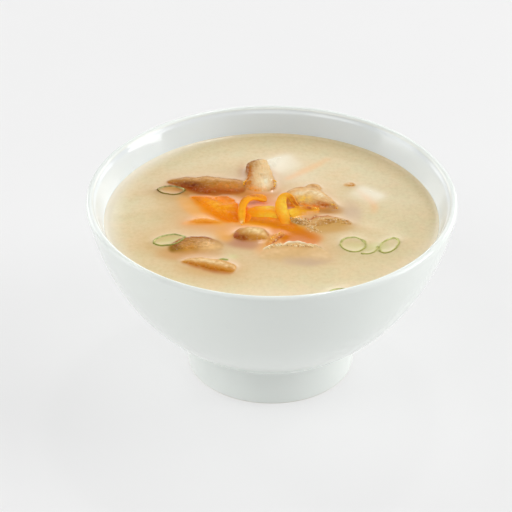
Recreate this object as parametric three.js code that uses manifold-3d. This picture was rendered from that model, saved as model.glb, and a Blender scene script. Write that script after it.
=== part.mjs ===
// Miso soup in a white porcelain bowl: a footed bowl, the soup up to its level, and the
// garnish that breaks the surface (shiitake slices, carrot shreds, tofu, scallion rings).
// Millimetres, +Z up, origin at the centre of the foot's resting plane.
import * as THREE from 'three';
import { mergeVertices } from 'three/addons/utils/BufferGeometryUtils.js';
import Module from 'manifold-3d';

const wasm = await Module();
wasm.setup();

// ---- Driving dimensions -------------------------------------------------------------

const BOWL_HEIGHT = 68.8;        // resting plane to the top of the lip
const LIP_THICKNESS = 2.6;       // the lip is a half round of this width
const BODY_HALF_WIDTH = 66.36;   // the body's outside is part of an ellipse: half axis along R
const BODY_HALF_HEIGHT = 77.9;   // half axis along Z
const BODY_CENTRE_Z = 83.15;     // height of the ellipse's centre, above the lip
const BASE_THICKNESS = 7.6;      // wall measured from the ellipse's lowest point
const WALL_TAPER = 0.46;         // how late the wall thins towards the lip

const FOOT_TOP_RADIUS = 31.5;    // where the foot meets the body
const FOOT_BOTTOM_RADIUS = 30.2; // the foot tapers a little downwards
const FOOT_WALL = 4.6;           // width of the foot ring
const FOOT_ROUND = 0.8;          // rounding of the foot ring's edges
const FOOT_FILLET = 1.6;         // soft inner corner between the foot and the body
const RECESS_DEPTH = 7.0;        // hollow under the bowl

const SOUP_LEVEL = 59.4;         // surface of the soup
const MENISCUS_RISE = 0.5;       // the soup climbs the wall by this
const MENISCUS_WIDTH = 2.2;      // and starts to climb at this distance from it

const GAP = 0.3;                 // clearance between neighbouring pieces
const TURN_STEPS = 60;           // facets round the bowl and the soup
const WALL_STEPS = 9;            // facets up the bowl's side, inside and out

// ---- Materials ----------------------------------------------------------------------

const finish = (color, roughness) =>
  new THREE.MeshStandardMaterial({ color, roughness, metalness: 0, flatShading: true });

const PORCELAIN = finish(0xf2f4f1, 0.15);
const SOUP = finish(0xe6d2ab, 0.3);
const MUSHROOM = { brown: finish(0xa3602f, 0.4), ochre: finish(0xb98a4e, 0.4), pale: finish(0xd6bf98, 0.45) };
const CARROT = { orange: finish(0xe6812a, 0.4), light: finish(0xfbb03c, 0.4) };
const TOFU = finish(0xf8efd8, 0.5);
const SCALLION = finish(0x8aa15c, 0.45);

// ---- Solids -------------------------------------------------------------------------

/** A closed geometry as a manifold solid, from its positions alone. */
function toSolid(geometry) {
  geometry.deleteAttribute('normal');
  geometry.deleteAttribute('uv');
  const merged = mergeVertices(geometry, 1e-4);
  return new wasm.Manifold(new wasm.Mesh({
    numProp: 3,
    vertProperties: merged.attributes.position.array,
    triVerts: new Uint32Array(merged.index.array),
  }));
}

/** A manifold solid as a geometry. */
function toGeometry(solid) {
  const { vertProperties, triVerts } = solid.getMesh();
  const geometry = new THREE.BufferGeometry();
  geometry.setAttribute('position', new THREE.BufferAttribute(vertProperties, 3));
  geometry.setIndex(new THREE.BufferAttribute(triVerts, 1));
  geometry.computeVertexNormals();
  return geometry;
}

/** Skins a row of equal sections, and closes both ends with a fan, or joins them. */
function loft(sections, ringClosed = false) {
  const around = sections[0].length;
  const points = sections.flat();
  const faces = [];
  const bands = ringClosed ? sections.length : sections.length - 1;
  for (let i = 0; i < bands; i++) {
    const here = i * around;
    const next = ((i + 1) % sections.length) * around;
    for (let k = 0; k < around; k++) {
      const l = (k + 1) % around;
      faces.push(here + k, next + k, next + l, here + k, next + l, here + l);
    }
  }
  if (!ringClosed) {
    const middle = (ring) => ring.reduce((sum, p) => sum.add(p), new THREE.Vector3()).divideScalar(around);
    const last = (sections.length - 1) * around;
    const startHub = points.push(middle(sections[0])) - 1;
    const endHub = points.push(middle(sections.at(-1))) - 1;
    for (let k = 0; k < around; k++) {
      const l = (k + 1) % around;
      faces.push(startHub, k, l, endHub, last + l, last + k);
    }
  }
  const geometry = new THREE.BufferGeometry().setFromPoints(points);
  geometry.setIndex(faces);
  return geometry;
}

/** Reads a list of values at a place from 0 to 1 along it, eased between entries. */
function along(values, place) {
  if (!Array.isArray(values)) return values;
  const spot = place * (values.length - 1);
  const i = Math.min(Math.floor(spot), values.length - 2);
  return THREE.MathUtils.lerp(values[i], values[i + 1], THREE.MathUtils.smoothstep(spot - i, 0, 1));
}

// ---- Garnish shapes -----------------------------------------------------------------

/** How far a rounded end has opened at a place: 0.3 at the very end, 1 past the rounding. */
function opened(place, rounding) {
  const inward = Math.min(place, 1 - place) / rounding;
  return inward >= 1 ? 1 : 0.3 + 0.7 * Math.sqrt(1 - (1 - inward) ** 2);
}

/**
 * A slice or shred: a flat rounded section carried along a smooth spine. Spine points are
 * [x, y, height above the soup]. roll turns the section, cup lifts its two edges, droop
 * sinks the one on the right of the way, perk curls the other up, ruffle makes the edge
 * wavy, and rounding is the share of the length that each end takes to open.
 */
function strip(
  { spine, width, thick, roll = 0, cup = 0, droop = 0, perk = 0, ruffle = 0, rounding = 0.08, sides = 8, steps = 8 },
  grow = 0) {
  const curve = new THREE.CatmullRomCurve3(spine.map(([x, y, z]) => new THREE.Vector3(x, y, SOUP_LEVEL + z)));
  const up = new THREE.Vector3(0, 0, 1);
  const sections = [];
  for (let i = 0; i <= steps; i++) {
    const place = THREE.MathUtils.lerp(i / steps, (1 - Math.cos(Math.PI * i / steps)) / 2, 0.8);
    const tangent = curve.getTangentAt(place);
    const turn = THREE.MathUtils.degToRad(along(roll, place));
    const side = new THREE.Vector3().crossVectors(tangent, up).normalize().applyAxisAngle(tangent, turn);
    const over = new THREE.Vector3().crossVectors(side, tangent);
    const pull = i === 0 ? -grow : i === steps ? grow : 0;
    const centre = curve.getPointAt(place).addScaledVector(tangent, pull);
    const wave = 1 + ruffle * Math.sin(place * 23) * Math.sin(place * 9 + 1);
    const end = opened(place, rounding);
    const bare = along(width, place) / 2 * wave * end;
    const halfWidth = bare + grow;
    const halfThick = along(thick, place) / 2 * Math.sqrt(end) + grow;
    const ring = [];
    for (let k = 0; k < sides; k++) {
      const angle = 2 * Math.PI * (k + 0.5) / sides;
      const across = Math.sign(Math.cos(angle)) * Math.abs(Math.cos(angle)) ** 0.7;
      const high = Math.sign(Math.sin(angle)) * Math.abs(Math.sin(angle)) ** 0.7;
      const reach = across * (1 + grow / Math.max(bare, 1.5));
      const bend = cup * reach ** 2 - droop * Math.max(reach, 0) ** 2 + perk * Math.max(-reach, 0) ** 4;
      ring.push(centre.clone()
        .addScaledVector(side, across * halfWidth)
        .addScaledVector(over, high * halfThick + bend * end ** 2));
    }
    sections.push(ring);
  }
  return loft(sections);
}

/**
 * A scallion ring, or the part of one between two angles: a thin upright wall along an
 * ellipse, with its middle at the given height above the soup.
 */
function ringWall({ at, radii, heading = 0, from = 0, sweep = 360, wall = 0.5, tall = 1.4, lift = -0.1, steps = 14 },
  grow = 0) {
  const whole = sweep >= 360;
  const turn = THREE.MathUtils.degToRad(heading);
  const ellipse = new THREE.EllipseCurve(at[0], at[1], radii[0], radii[1], 0, 2 * Math.PI, false, turn);
  const sections = [];
  for (let i = 0; i < (whole ? steps : steps + 1); i++) {
    const place = (from + sweep * i / steps) / 360;
    const spot = ellipse.getPoint(place);
    const ahead = ellipse.getPoint(place + 1e-3).sub(ellipse.getPoint(place - 1e-3)).normalize();
    const endPull = whole || (i > 0 && i < steps) ? 0 : (i === 0 ? -grow : grow);
    spot.addScaledVector(ahead, endPull);
    const outward = new THREE.Vector2(ahead.y, -ahead.x);
    const halfWall = wall / 2 + grow;
    const halfTall = tall / 2 + grow;
    const corner = (o, z) => new THREE.Vector3(
      spot.x + outward.x * o * halfWall, spot.y + outward.y * o * halfWall, SOUP_LEVEL + lift + z * halfTall);
    sections.push([corner(1, -1), corner(1, 1), corner(-1, 1), corner(-1, -1)]);
  }
  return loft(sections, whole);
}

/** A cut block with softened edges: a bevelled extrusion, turned and tilted. */
function block({ at, size, heading, tilt, soft = 0.7 }, grow = 0) {
  const [wide, deep, tall] = size.map((s) => s + 2 * grow);
  const shape = new THREE.Shape();
  const [x, y] = [wide / 2 - soft, deep / 2 - soft];
  shape.moveTo(-x, -y).lineTo(x, -y).lineTo(x, y).lineTo(-x, y).closePath();
  const geometry = new THREE.ExtrudeGeometry(shape, {
    depth: tall - 2 * soft, bevelThickness: soft, bevelSize: soft, bevelSegments: 2, steps: 1,
  });
  geometry.translate(0, 0, soft - tall / 2);
  geometry.rotateX(THREE.MathUtils.degToRad(tilt[0]));
  geometry.rotateY(THREE.MathUtils.degToRad(tilt[1]));
  geometry.rotateZ(THREE.MathUtils.degToRad(heading));
  geometry.translate(at[0], at[1], SOUP_LEVEL + at[2]);
  return geometry;
}

// ---- Garnish pieces: the first named keep their form, later ones are cut clear of them --

const GARNISH = [
  // carrot shreds, the raised ones first
  { name: 'carrot_loop', shape: strip, material: CARROT.light, spec: {
    spine: [[-10.2, -4.8, -0.4], [-10.5, -0.5, 1.4], [-10.2, 3.5, 2.6], [-8.6, 7.4, 3.1], [-5.6, 9.6, 2.5],
      [-1.6, 10, 1.5]],
    width: [2.2, 2.8, 3.4, 4.8], thick: 1.1, steps: 10 } },
  { name: 'carrot_arch', shape: strip, material: CARROT.light, spec: {
    spine: [[5.8, -6.4, -0.5], [4.4, -1.4, 0.6], [3.4, 3.4, 1.7], [3.7, 7.8, 3], [5, 9.6, 3.5], [6.6, 8.8, 3.1],
      [8.4, 5.8, 2], [10, 3.4, 1.1]],
    width: [2.8, 4, 4.6, 4.4, 3.4, 2.6, 2, 1.6], thick: 1, steps: 12 } },
  { name: 'carrot_fork', shape: strip, material: CARROT.light, spec: {
    spine: [[6, 1.2, 0.3], [10.5, 3, 0.8], [16.6, 3.6, 0.8]],
    width: [5.8, 5.2, 3.2], thick: [2, 2, 1.6], droop: 0.9, steps: 5 } },
  { name: 'carrot_bar', shape: strip, material: CARROT.light, spec: {
    spine: [[-9, 2.4, 0.3], [-4, 2.6, 0.6], [1.4, 2, 0.6], [5.4, -0.8, 0.1]],
    width: [6, 7.8, 8.4, 5.8], thick: 1.3, droop: 1.3, steps: 6 } },
  { name: 'carrot_upper', shape: strip, material: CARROT.orange, spec: {
    spine: [[-20, 13.6, -0.2], [-17.2, 9.8, 0.3], [-14.6, 4.8, 0.5], [-13, -0.4, 0.2], [-12.2, -3.8, -0.3]],
    width: [7, 8.2, 7.4, 6.2, 3.8], thick: 1.2, rounding: 0.2, steps: 7 } },
  { name: 'carrot_blade', shape: strip, material: CARROT.orange, spec: {
    spine: [[-29, 13.8, -0.6], [-24.8, 10.4, -0.2], [-20.6, 5.6, 0], [-17, 0.8, -0.1], [-13.8, -3.2, -0.4]],
    width: [2.6, 7.2, 10.2, 10, 5.6], thick: 1.5, roll: 6, droop: 1.5, steps: 8 } },
  { name: 'carrot_side', shape: strip, material: CARROT.orange, spec: {
    spine: [[-10.8, 8, 0.1], [-9.6, 4, 0.3], [-9.2, 0, 0.2], [-9.6, -4, -0.3]],
    width: [2.6, 4, 4.4, 3], thick: 1.2, steps: 5 } },
  { name: 'carrot_under', shape: strip, material: CARROT.orange, spec: {
    spine: [[-9.6, -2.2, -0.3], [-4, -2.2, -0.1], [2, -4, -0.1], [8, -8.2, -0.4]],
    width: [5, 7.4, 9.6, 7.4], thick: 1.2, droop: 1.4, steps: 6 } },
  { name: 'carrot_left', shape: strip, material: CARROT.orange, spec: {
    spine: [[-31.2, -4.4, -1], [-24.4, -3.1, -0.3], [-17.2, -3.6, -0.8]],
    width: [2.4, 5.4, 2.8], thick: 1.4, roll: 8, droop: 1, steps: 6 } },
  { name: 'carrot_bit', shape: strip, material: CARROT.orange, spec: {
    spine: [[-3, -20.8, -0.8], [-0.8, -16.8, -0.3], [1.6, -13.2, 0.2], [4.4, -10.8, 0.1]],
    width: [2, 2.8, 3.6, 2.4], thick: 1.4, steps: 5 } },
  // shiitake slices
  { name: 'mushroom_stem', shape: strip, material: MUSHROOM.pale, spec: {
    spine: [[-4.3, 17, -0.4], [-4, 22, 0.3], [-4.3, 28, 1.4], [-5.5, 34.2, 2.3]],
    width: [11.8, 10.4, 8.2, 8.4], thick: [2.2, 3.4, 4.2, 4.4], roll: [0, -6, -10], cup: 0.7,
    rounding: 0.18, steps: 8 } },
  { name: 'mushroom_long', shape: strip, material: MUSHROOM.brown, spec: {
    spine: [[-37.8, 24, -0.5], [-31.2, 22.3, -0.2], [-25, 20.6, -0.1], [-17, 20.1, -0.1], [-9, 19.8, -0.3]],
    width: [3.4, 9, 12.4, 11.4, 8.8], thick: [1.8, 2.8, 3, 2.4], roll: 5, droop: 1.2, ruffle: 0.05,
    steps: 9 } },
  { name: 'mushroom_right', shape: strip, material: MUSHROOM.ochre, spec: {
    spine: [[5.4, 8.6, 0.2], [8.4, 11.2, 1], [12.6, 11.6, 1.2], [17.5, 9.2, 0.8], [23, 6, 0.4]],
    width: [5, 9.4, 10.4, 7.6, 3.4], thick: [2.4, 3.4, 3.4, 2.2], roll: [8, 14, 12, 4], droop: 1,
    ruffle: 0.04, steps: 9 } },
  { name: 'mushroom_curl', shape: strip, material: MUSHROOM.pale, spec: {
    spine: [[12.4, 18.8, 0], [13.8, 21, 0.3], [16.4, 21, 0.3], [17.6, 18.6, 0]],
    width: 1.5, thick: 1.2, sides: 6, steps: 6 } },
  { name: 'mushroom_frill', shape: strip, material: MUSHROOM.ochre, spec: {
    spine: [[6.6, -2.4, -0.3], [11, -4.4, -0.1], [16, -4, 0], [21.5, -2.8, 0.1], [28, -4.6, -0.3]],
    width: [3.4, 6, 7.4, 5.6, 2.6], thick: 1.6, roll: 5, droop: 1.2, ruffle: 0.16, steps: 10 } },
  { name: 'mushroom_button', shape: strip, material: MUSHROOM.ochre, spec: {
    spine: [[-13.2, -13.6, -0.5], [-10.2, -13, 0], [-7.2, -12.8, 0.1], [-4.2, -13, 0], [-1.2, -13.8, -0.4]],
    width: [6.4, 8, 8.6, 8.2, 6.8], thick: [3.4, 4, 4.2, 4, 3.4], roll: 10, droop: 1.4, rounding: 0.3,
    steps: 7 } },
  { name: 'mushroom_left', shape: strip, material: MUSHROOM.ochre, spec: {
    spine: [[-35.4, -21.8, -0.8], [-29.4, -19.4, -0.4], [-24, -18.6, -0.5], [-16.6, -19.6, -1.2]],
    width: [6, 11, 11, 6], thick: 1.8, roll: 2, droop: 2.4, perk: 0.4, ruffle: 0.06, rounding: 0.14,
    steps: 8 } },
  { name: 'mushroom_front', shape: strip, material: MUSHROOM.ochre, spec: {
    spine: [[-31, -28.8, -0.5], [-25, -30.3, 0], [-19, -32.4, 0], [-12.6, -34.6, -0.3]],
    width: [3, 6.6, 8.4, 6.8], thick: 2, roll: 8, droop: 2, rounding: 0.1, steps: 7 } },
  { name: 'mushroom_pale', shape: strip, material: MUSHROOM.pale, spec: {
    spine: [[-4, -25.6, -1.3], [1.6, -23.4, -0.9], [8, -22.5, -0.85], [14, -23.8, -1], [20.6, -27, -1.5]],
    width: [6, 10.6, 12.4, 10.8, 5.4], thick: 1.2, droop: 1.8, perk: 1.2, ruffle: 0.1, rounding: 0.2,
    steps: 10 } },
  { name: 'mushroom_bit', shape: strip, material: MUSHROOM.ochre, spec: {
    spine: [[26.2, 22.2, -0.5], [28.3, 22.4, -0.3], [30.4, 21.8, -0.6]],
    width: [2, 3, 1.8], thick: 1.6, droop: 0.6, rounding: 0.25, steps: 4 } },
  // tofu
  { name: 'tofu_back', shape: block, material: TOFU, spec: {
    at: [4.0, 37.6, -4.8], size: [11.5, 10.5, 9], heading: 32, tilt: [7, 5] } },
  { name: 'tofu_right', shape: block, material: TOFU, spec: {
    at: [34.6, 16.0, -4.7], size: [11.5, 8.4, 8], heading: -38, tilt: [14, 0] } },
  // scallion
  { name: 'scallion_left_back', shape: ringWall, material: SCALLION, spec: {
    at: [-36.0, 17.9], radii: [4.8, 2.8], heading: -4, wall: 0.6 } },
  { name: 'scallion_left_front', shape: ringWall, material: SCALLION, spec: {
    at: [-35.7, -15.3], radii: [5.6, 3.3], heading: 22, wall: 0.6 } },
  { name: 'scallion_right', shape: ringWall, material: SCALLION, spec: {
    at: [28.0, -17.8], radii: [4.3, 4.6] } },
  { name: 'scallion_right_arc', shape: ringWall, material: SCALLION, spec: {
    at: [32.2, -19.2], radii: [4.3, 4.5], from: -112, sweep: 118, lift: -0.2, steps: 9 } },
  { name: 'scallion_far_right', shape: ringWall, material: SCALLION, spec: {
    at: [40.6, -18.5], radii: [5.1, 2.7], heading: 62 } },
  { name: 'scallion_front', shape: ringWall, material: SCALLION, spec: {
    at: [22.8, -48.9], radii: [4.2, 3.4], heading: 22 } },
  { name: 'scallion_bit', shape: strip, material: SCALLION, spec: {
    spine: [[-18.2, -27.8, 0], [-16.6, -27.6, 0.2], [-15, -27.7, 0]], width: [1.0, 1.5, 1.0], thick: 0.9,
    sides: 6, steps: 4 } },
];

// ---- Bowl and soup ------------------------------------------------------------------

const LIP_RADIUS = LIP_THICKNESS / 2;
const bodyAngleAt = (z) => Math.acos((BODY_CENTRE_Z - z) / BODY_HALF_HEIGHT);

/** A point of the body's wall, at an angle up from the axis and a depth into the wall. */
function wallPoint(angle, depth) {
  const point = new THREE.Vector2(BODY_HALF_WIDTH * Math.sin(angle), BODY_CENTRE_Z - BODY_HALF_HEIGHT * Math.cos(angle));
  const inward = new THREE.Vector2(-BODY_HALF_HEIGHT * Math.sin(angle), BODY_HALF_WIDTH * Math.cos(angle)).normalize();
  return point.addScaledVector(inward, depth);
}

/** Where the wall ends, so that the half round on it reaches the bowl's height. */
function lipAngle() {
  const flat = bodyAngleAt(BOWL_HEIGHT - LIP_RADIUS);
  const rise = wallPoint(flat, LIP_RADIUS).y - wallPoint(flat, 0).y;
  return bodyAngleAt(BOWL_HEIGHT - LIP_RADIUS - rise);
}
const LIP_ANGLE = lipAngle();

/** The wall's thickness: thick at the base, thinning to the lip. */
const wallThickness = (angle) =>
  LIP_THICKNESS + (BASE_THICKNESS - LIP_THICKNESS) * (1 - angle / LIP_ANGLE) ** WALL_TAPER;

/** The inner surface from the lip's inside edge down to the axis. */
function innerWall(steps, inset = 0) {
  const points = [];
  for (let i = 0; i <= steps; i++) {
    const angle = LIP_ANGLE * (1 - (i / steps) ** 1.25);
    points.push(wallPoint(angle, wallThickness(angle) + inset));
  }
  points.at(-1).x = 0;
  return points;
}

/** A quarter round from one direction to another, both in degrees, about a centre. */
function round(centreR, centreZ, radius, start, end, steps) {
  const points = [];
  for (let i = 0; i <= steps; i++) {
    const angle = THREE.MathUtils.degToRad(start + (end - start) * i / steps);
    points.push(new THREE.Vector2(centreR + radius * Math.cos(angle), centreZ + radius * Math.sin(angle)));
  }
  return points;
}

/** Turns a profile round the Z axis. */
const turned = (profile) => new THREE.LatheGeometry(profile, TURN_STEPS).rotateX(Math.PI / 2);

function bowl() {
  const recessRadius = FOOT_BOTTOM_RADIUS - FOOT_WALL;
  const neckAngle = Math.asin((FOOT_TOP_RADIUS + FOOT_FILLET) / BODY_HALF_WIDTH);
  const neck = wallPoint(neckAngle, 0);
  const profile = [
    new THREE.Vector2(0, RECESS_DEPTH),
    ...round(recessRadius - FOOT_FILLET, RECESS_DEPTH - FOOT_FILLET, FOOT_FILLET, 90, 0, 2),
    ...round(recessRadius + FOOT_ROUND, FOOT_ROUND, FOOT_ROUND, 180, 270, 2),
    ...round(FOOT_BOTTOM_RADIUS - FOOT_ROUND, FOOT_ROUND, FOOT_ROUND, 270, 360, 2),
    new THREE.Vector2(FOOT_TOP_RADIUS - 0.3, neck.y - 2 * FOOT_FILLET),
    new THREE.Vector2(FOOT_TOP_RADIUS + 0.3, neck.y - 0.7 * FOOT_FILLET),
  ];
  for (let i = 0; i <= WALL_STEPS; i++) {
    profile.push(wallPoint(neckAngle + (LIP_ANGLE - neckAngle) * i / WALL_STEPS, 0));
  }
  const outerEdge = wallPoint(LIP_ANGLE, 0);
  const innerEdge = wallPoint(LIP_ANGLE, LIP_THICKNESS);
  const lip = outerEdge.clone().lerp(innerEdge, 0.5);
  const lean = THREE.MathUtils.radToDeg(outerEdge.clone().sub(lip).angle()) - 360;
  profile.push(...round(lip.x, lip.y, LIP_RADIUS, lean, lean + 180, 5).slice(1, -1));
  profile.push(...innerWall(WALL_STEPS));
  return toSolid(turned(profile));
}

function soup(pockets) {
  const wall = innerWall(4 * WALL_STEPS, GAP);
  const under = wall.filter((point) => point.y < SOUP_LEVEL - 1).filter((_, i, all) => i % 4 === 0 || i === all.length - 1);
  const above = wall.findLast((point) => point.y >= SOUP_LEVEL + MENISCUS_RISE);
  const below = wall.find((point) => point.y < SOUP_LEVEL + MENISCUS_RISE);
  const share = (SOUP_LEVEL + MENISCUS_RISE - below.y) / (above.y - below.y);
  const edge = below.clone().lerp(above, share);
  const profile = [...under.reverse(), edge];
  for (const place of [0.85, 0.6, 0.3]) {
    const climb = MENISCUS_RISE * place ** 3;
    profile.push(new THREE.Vector2(edge.x - MENISCUS_WIDTH * (1 - place), SOUP_LEVEL + climb));
  }
  profile.push(new THREE.Vector2(edge.x - MENISCUS_WIDTH, SOUP_LEVEL), new THREE.Vector2(0, SOUP_LEVEL));
  return pockets.reduce((body, pocket) => body.subtract(pocket), toSolid(turned(profile)));
}

// ---- The whole ----------------------------------------------------------------------

const group = new THREE.Group();

function place(name, solid, material) {
  const mesh = new THREE.Mesh(toGeometry(solid), material);
  mesh.name = name;
  group.add(mesh);
}

const clearances = [];
for (const { name, shape, material, spec } of GARNISH) {
  const piece = clearances.reduce((body, taken) => body.subtract(taken), toSolid(shape(spec)));
  place(name, piece, material);
  clearances.push(toSolid(shape(spec, GAP)));
}
place('bowl', bowl(), PORCELAIN);
place('soup', soup(clearances), SOUP);

export default group;
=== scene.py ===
import math
import random
import bpy
import numpy as np
from mathutils import Matrix, Vector, noise
from mathutils.bvhtree import BVHTree


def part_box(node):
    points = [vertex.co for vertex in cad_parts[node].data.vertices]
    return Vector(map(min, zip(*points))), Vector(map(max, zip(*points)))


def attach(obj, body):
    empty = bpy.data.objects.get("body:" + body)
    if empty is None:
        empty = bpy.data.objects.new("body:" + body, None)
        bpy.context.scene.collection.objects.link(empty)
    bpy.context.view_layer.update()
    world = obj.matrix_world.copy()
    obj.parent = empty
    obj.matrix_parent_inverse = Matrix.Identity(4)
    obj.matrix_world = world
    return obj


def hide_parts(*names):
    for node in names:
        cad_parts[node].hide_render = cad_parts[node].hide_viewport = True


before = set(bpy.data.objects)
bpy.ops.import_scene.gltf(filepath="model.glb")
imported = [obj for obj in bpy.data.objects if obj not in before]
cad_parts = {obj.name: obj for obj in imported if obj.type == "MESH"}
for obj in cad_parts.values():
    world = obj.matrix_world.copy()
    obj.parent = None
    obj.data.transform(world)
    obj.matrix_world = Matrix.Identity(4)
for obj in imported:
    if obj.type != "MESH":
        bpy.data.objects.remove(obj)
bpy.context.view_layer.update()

# Miso soup in a white footed bowl. Forms are worked out in millimetres, and meshes are made in metres.
mm = 0.001

meniscus = dict(rise=0.5, width=2.2)  # how the soup climbs the bowl's wall
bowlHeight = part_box("bowl")[1].z / mm
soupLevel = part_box("soup")[1].z / mm - meniscus["rise"]


def screen(*colour):  # a screen colour, 0 to 255, as linear light
    return tuple(c / 255 / 12.92 if c <= 10 else ((c / 255 + 0.055) / 1.055) ** 2.4 for c in colour)


palette = dict(
    # the soup; where it climbs thin, its painted highlight; its pale rim, thin soup and partly painted light;
    # the painted shadow under the far wall; and what it takes on near the pieces
    soup=(235, 217, 174), soupWarm=(239, 212, 168), soupCool=(226, 216, 173), soupDark=(206, 180, 130),
    film=(255, 240, 218), thin=(254, 248, 232), farWallShadow=(172, 146, 90), wideHalo=(211, 174, 118),
    carrotHalo=(246, 168, 104), mushroomHalo=(222, 178, 128), tofuHalo=(246, 234, 208),
    scallionHalo=(222, 216, 156),
    # mushroom browns, dark to light
    plum=(112, 40, 10), umber=(152, 66, 14), sienna=(178, 86, 24), skin=(168, 92, 28), moss=(142, 104, 32),
    brown=(190, 118, 46), bran=(200, 122, 28), russet=(200, 106, 30), olive=(180, 130, 36),
    clay=(188, 130, 54), oak=(194, 134, 68), tan=(210, 144, 72), straw=(216, 154, 62), reed=(212, 164, 92),
    husk=(220, 180, 118), biscuit=(236, 192, 130), wheat=(244, 212, 160), flesh=(250, 222, 166),
    foam=(246, 218, 166), cream=(255, 244, 214), rose=(200, 140, 108), lilac=(208, 178, 148),
    # carrot
    copper=(194, 98, 10), deep=(228, 106, 10), ember=(228, 132, 18), orange=(250, 144, 12),
    tangerine=(243, 157, 46), apricot=(238, 168, 78), amber=(246, 172, 74), marigold=(254, 170, 28),
    gold=(254, 180, 44), sun=(255, 212, 70), honey=(255, 212, 96), peach=(250, 190, 128),
    # bean curd and scallion
    tofu=(252, 243, 220), green=(122, 126, 48), leaf=(166, 166, 82), fern=(198, 192, 108),
    mint=(214, 214, 150),
)
palette = {name: screen(*colour) for name, colour in palette.items()}


class Wire:  # a node's output that takes part in sums
    def __init__(self, shade, socket):
        self.shade, self.socket = shade, socket

    def maths(self, operation, left, right):
        return self.shade.node("ShaderNodeMath", dict(operation=operation), {0: left, 1: right})

    def __add__(self, other):
        return self.maths("ADD", self, other)

    def __radd__(self, other):
        return self.maths("ADD", other, self)

    def __sub__(self, other):
        return self.maths("SUBTRACT", self, other)

    def __rsub__(self, other):
        return self.maths("SUBTRACT", other, self)

    def __mul__(self, other):
        return self.maths("MULTIPLY", self, other)

    def __rmul__(self, other):
        return self.maths("MULTIPLY", other, self)


class Shade:  # one material and the nodes that make it
    def __init__(self, name):
        self.material = bpy.data.materials.new(name)
        self.material.use_nodes = True
        self.tree = self.material.node_tree
        self.tree.nodes.clear()

    def node(self, kind, settings=None, sockets=None, out=0):
        made = self.tree.nodes.new(kind)
        for key, value in (settings or {}).items():
            setattr(made, key, value)
        for key, value in (sockets or {}).items():
            self.feed(made.inputs[key], value)
        return Wire(self, made.outputs[out]) if len(made.outputs) else None

    def feed(self, socket, value):
        if isinstance(value, Wire):
            self.tree.links.new(value.socket, socket)
        elif hasattr(socket.default_value, "__len__") and len(value) < len(socket.default_value):
            socket.default_value = (*value, 1)
        else:
            socket.default_value = value

    def mix(self, factor, first, second, blend="MIX"):
        settings = dict(data_type="RGBA", blend_type=blend)
        return self.node("ShaderNodeMix", settings, {0: factor, 6: first, 7: second}, 2)

    def place(self):  # the surface's own place, in millimetres
        spot = self.node("ShaderNodeTexCoord", out=3)
        return self.node("ShaderNodeVectorMath", dict(operation="SCALE"), {0: spot, "Scale": 1 / mm})

    def grain(self, spot, size, detail=3, rough=0.55, stretch=None):
        if stretch:
            spot = self.node("ShaderNodeVectorMath", dict(operation="MULTIPLY"), {0: spot, 1: stretch})
        return self.node("ShaderNodeTexNoise", None,
                         {"Vector": spot, "Scale": 1 / size, "Detail": detail, "Roughness": rough})

    def span(self, value, low, high, to=(0, 1)):  # a value taken from one range to another
        ends = {"Value": value, "From Min": low, "From Max": high, "To Min": to[0], "To Max": to[1]}
        return self.node("ShaderNodeMapRange", dict(clamp=True), ends)

    def bump(self, height, depth):  # depth in millimetres
        sockets = {"Height": height, "Distance": depth * mm, "Strength": 1.0}
        return self.node("ShaderNodeBump", None, sockets)

    def attribute(self, name, out=0):
        return self.node("ShaderNodeAttribute", dict(attribute_name=name), None, out)

    def finish(self, sockets):
        surface = self.node("ShaderNodeBsdfPrincipled", None, sockets)
        self.node("ShaderNodeOutputMaterial", None, {"Surface": surface})
        return self.material


def lerp(a, b, share):
    return a + (b - a) * share


def smooth(share):
    share = np.clip(share, 0, 1)
    return share * share * (3 - 2 * share)


def along(values, place):  # a list of values read at 0 to 1 along it, eased between
    if not isinstance(values, (list, tuple)):
        return np.full(np.shape(place), float(values))
    spot = np.asarray(place) * (len(values) - 1)
    i = np.minimum(spot.astype(int), len(values) - 2)
    table = np.array(values, float)
    return lerp(table[i], table[i + 1], smooth(spot - i))


def rough(points, size, seed, octaves=3):  # fractal noise at points, about -1 to 1
    shift = Vector((seed * 17.3, seed * 5.1, seed * 9.7))
    return np.array([noise.fractal(Vector(p) / size + shift, 1.0, 2.0, octaves) for p in points])


def roughLine(x, y, z, seed, octaves=3):  # the same along a line, its places given one axis at a time
    return rough(np.stack(np.broadcast_arrays(x, y, z), 1), 1, seed, octaves)


def buildPiece(name, points, faces, material, nodes, layers):
    mesh = bpy.data.meshes.new(name)
    mesh.from_pydata((np.asarray(points) * mm).tolist(), [], faces)
    mesh.update()
    mesh.polygons.foreach_set("use_smooth", [True] * len(mesh.polygons))
    for key, values in layers.items():
        paint(mesh, key, values)
    mesh.materials.append(material)
    piece = bpy.data.objects.new(name, mesh)
    bpy.context.scene.collection.objects.link(piece)
    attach(piece, "root")
    if nodes:
        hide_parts(*nodes)


def paint(mesh, key, values):  # a layer on the mesh's points: colours, or places in mm
    values = np.asarray(values, float)
    if key == "lay":
        mesh.attributes.new(key, "FLOAT_VECTOR", "POINT").data.foreach_set("vector", values.ravel())
        return
    if values.shape[1] == 3:
        values = np.hstack([values, np.ones((len(values), 1))])
    mesh.attributes.new(key, "FLOAT_COLOR", "POINT").data.foreach_set("color", values.ravel())


def quadSkin(rows, columns):  # faces of a closed tube of points, row by row
    faces = []
    for i in range(rows - 1):
        for k in range(columns):
            here, l = i * columns, (k + 1) % columns
            faces.append((here + k, here + columns + k, here + columns + l, here + l))
    return faces


def signedPower(values, power):
    return np.sign(values) * np.abs(values) ** power


def section(steps, power):  # a rounded oblong's outline, -1 to 1 across and up
    angle = 2 * np.pi * (np.arange(steps) + 0.5) / steps
    return signedPower(np.cos(angle), power), signedPower(np.sin(angle), power)


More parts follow.
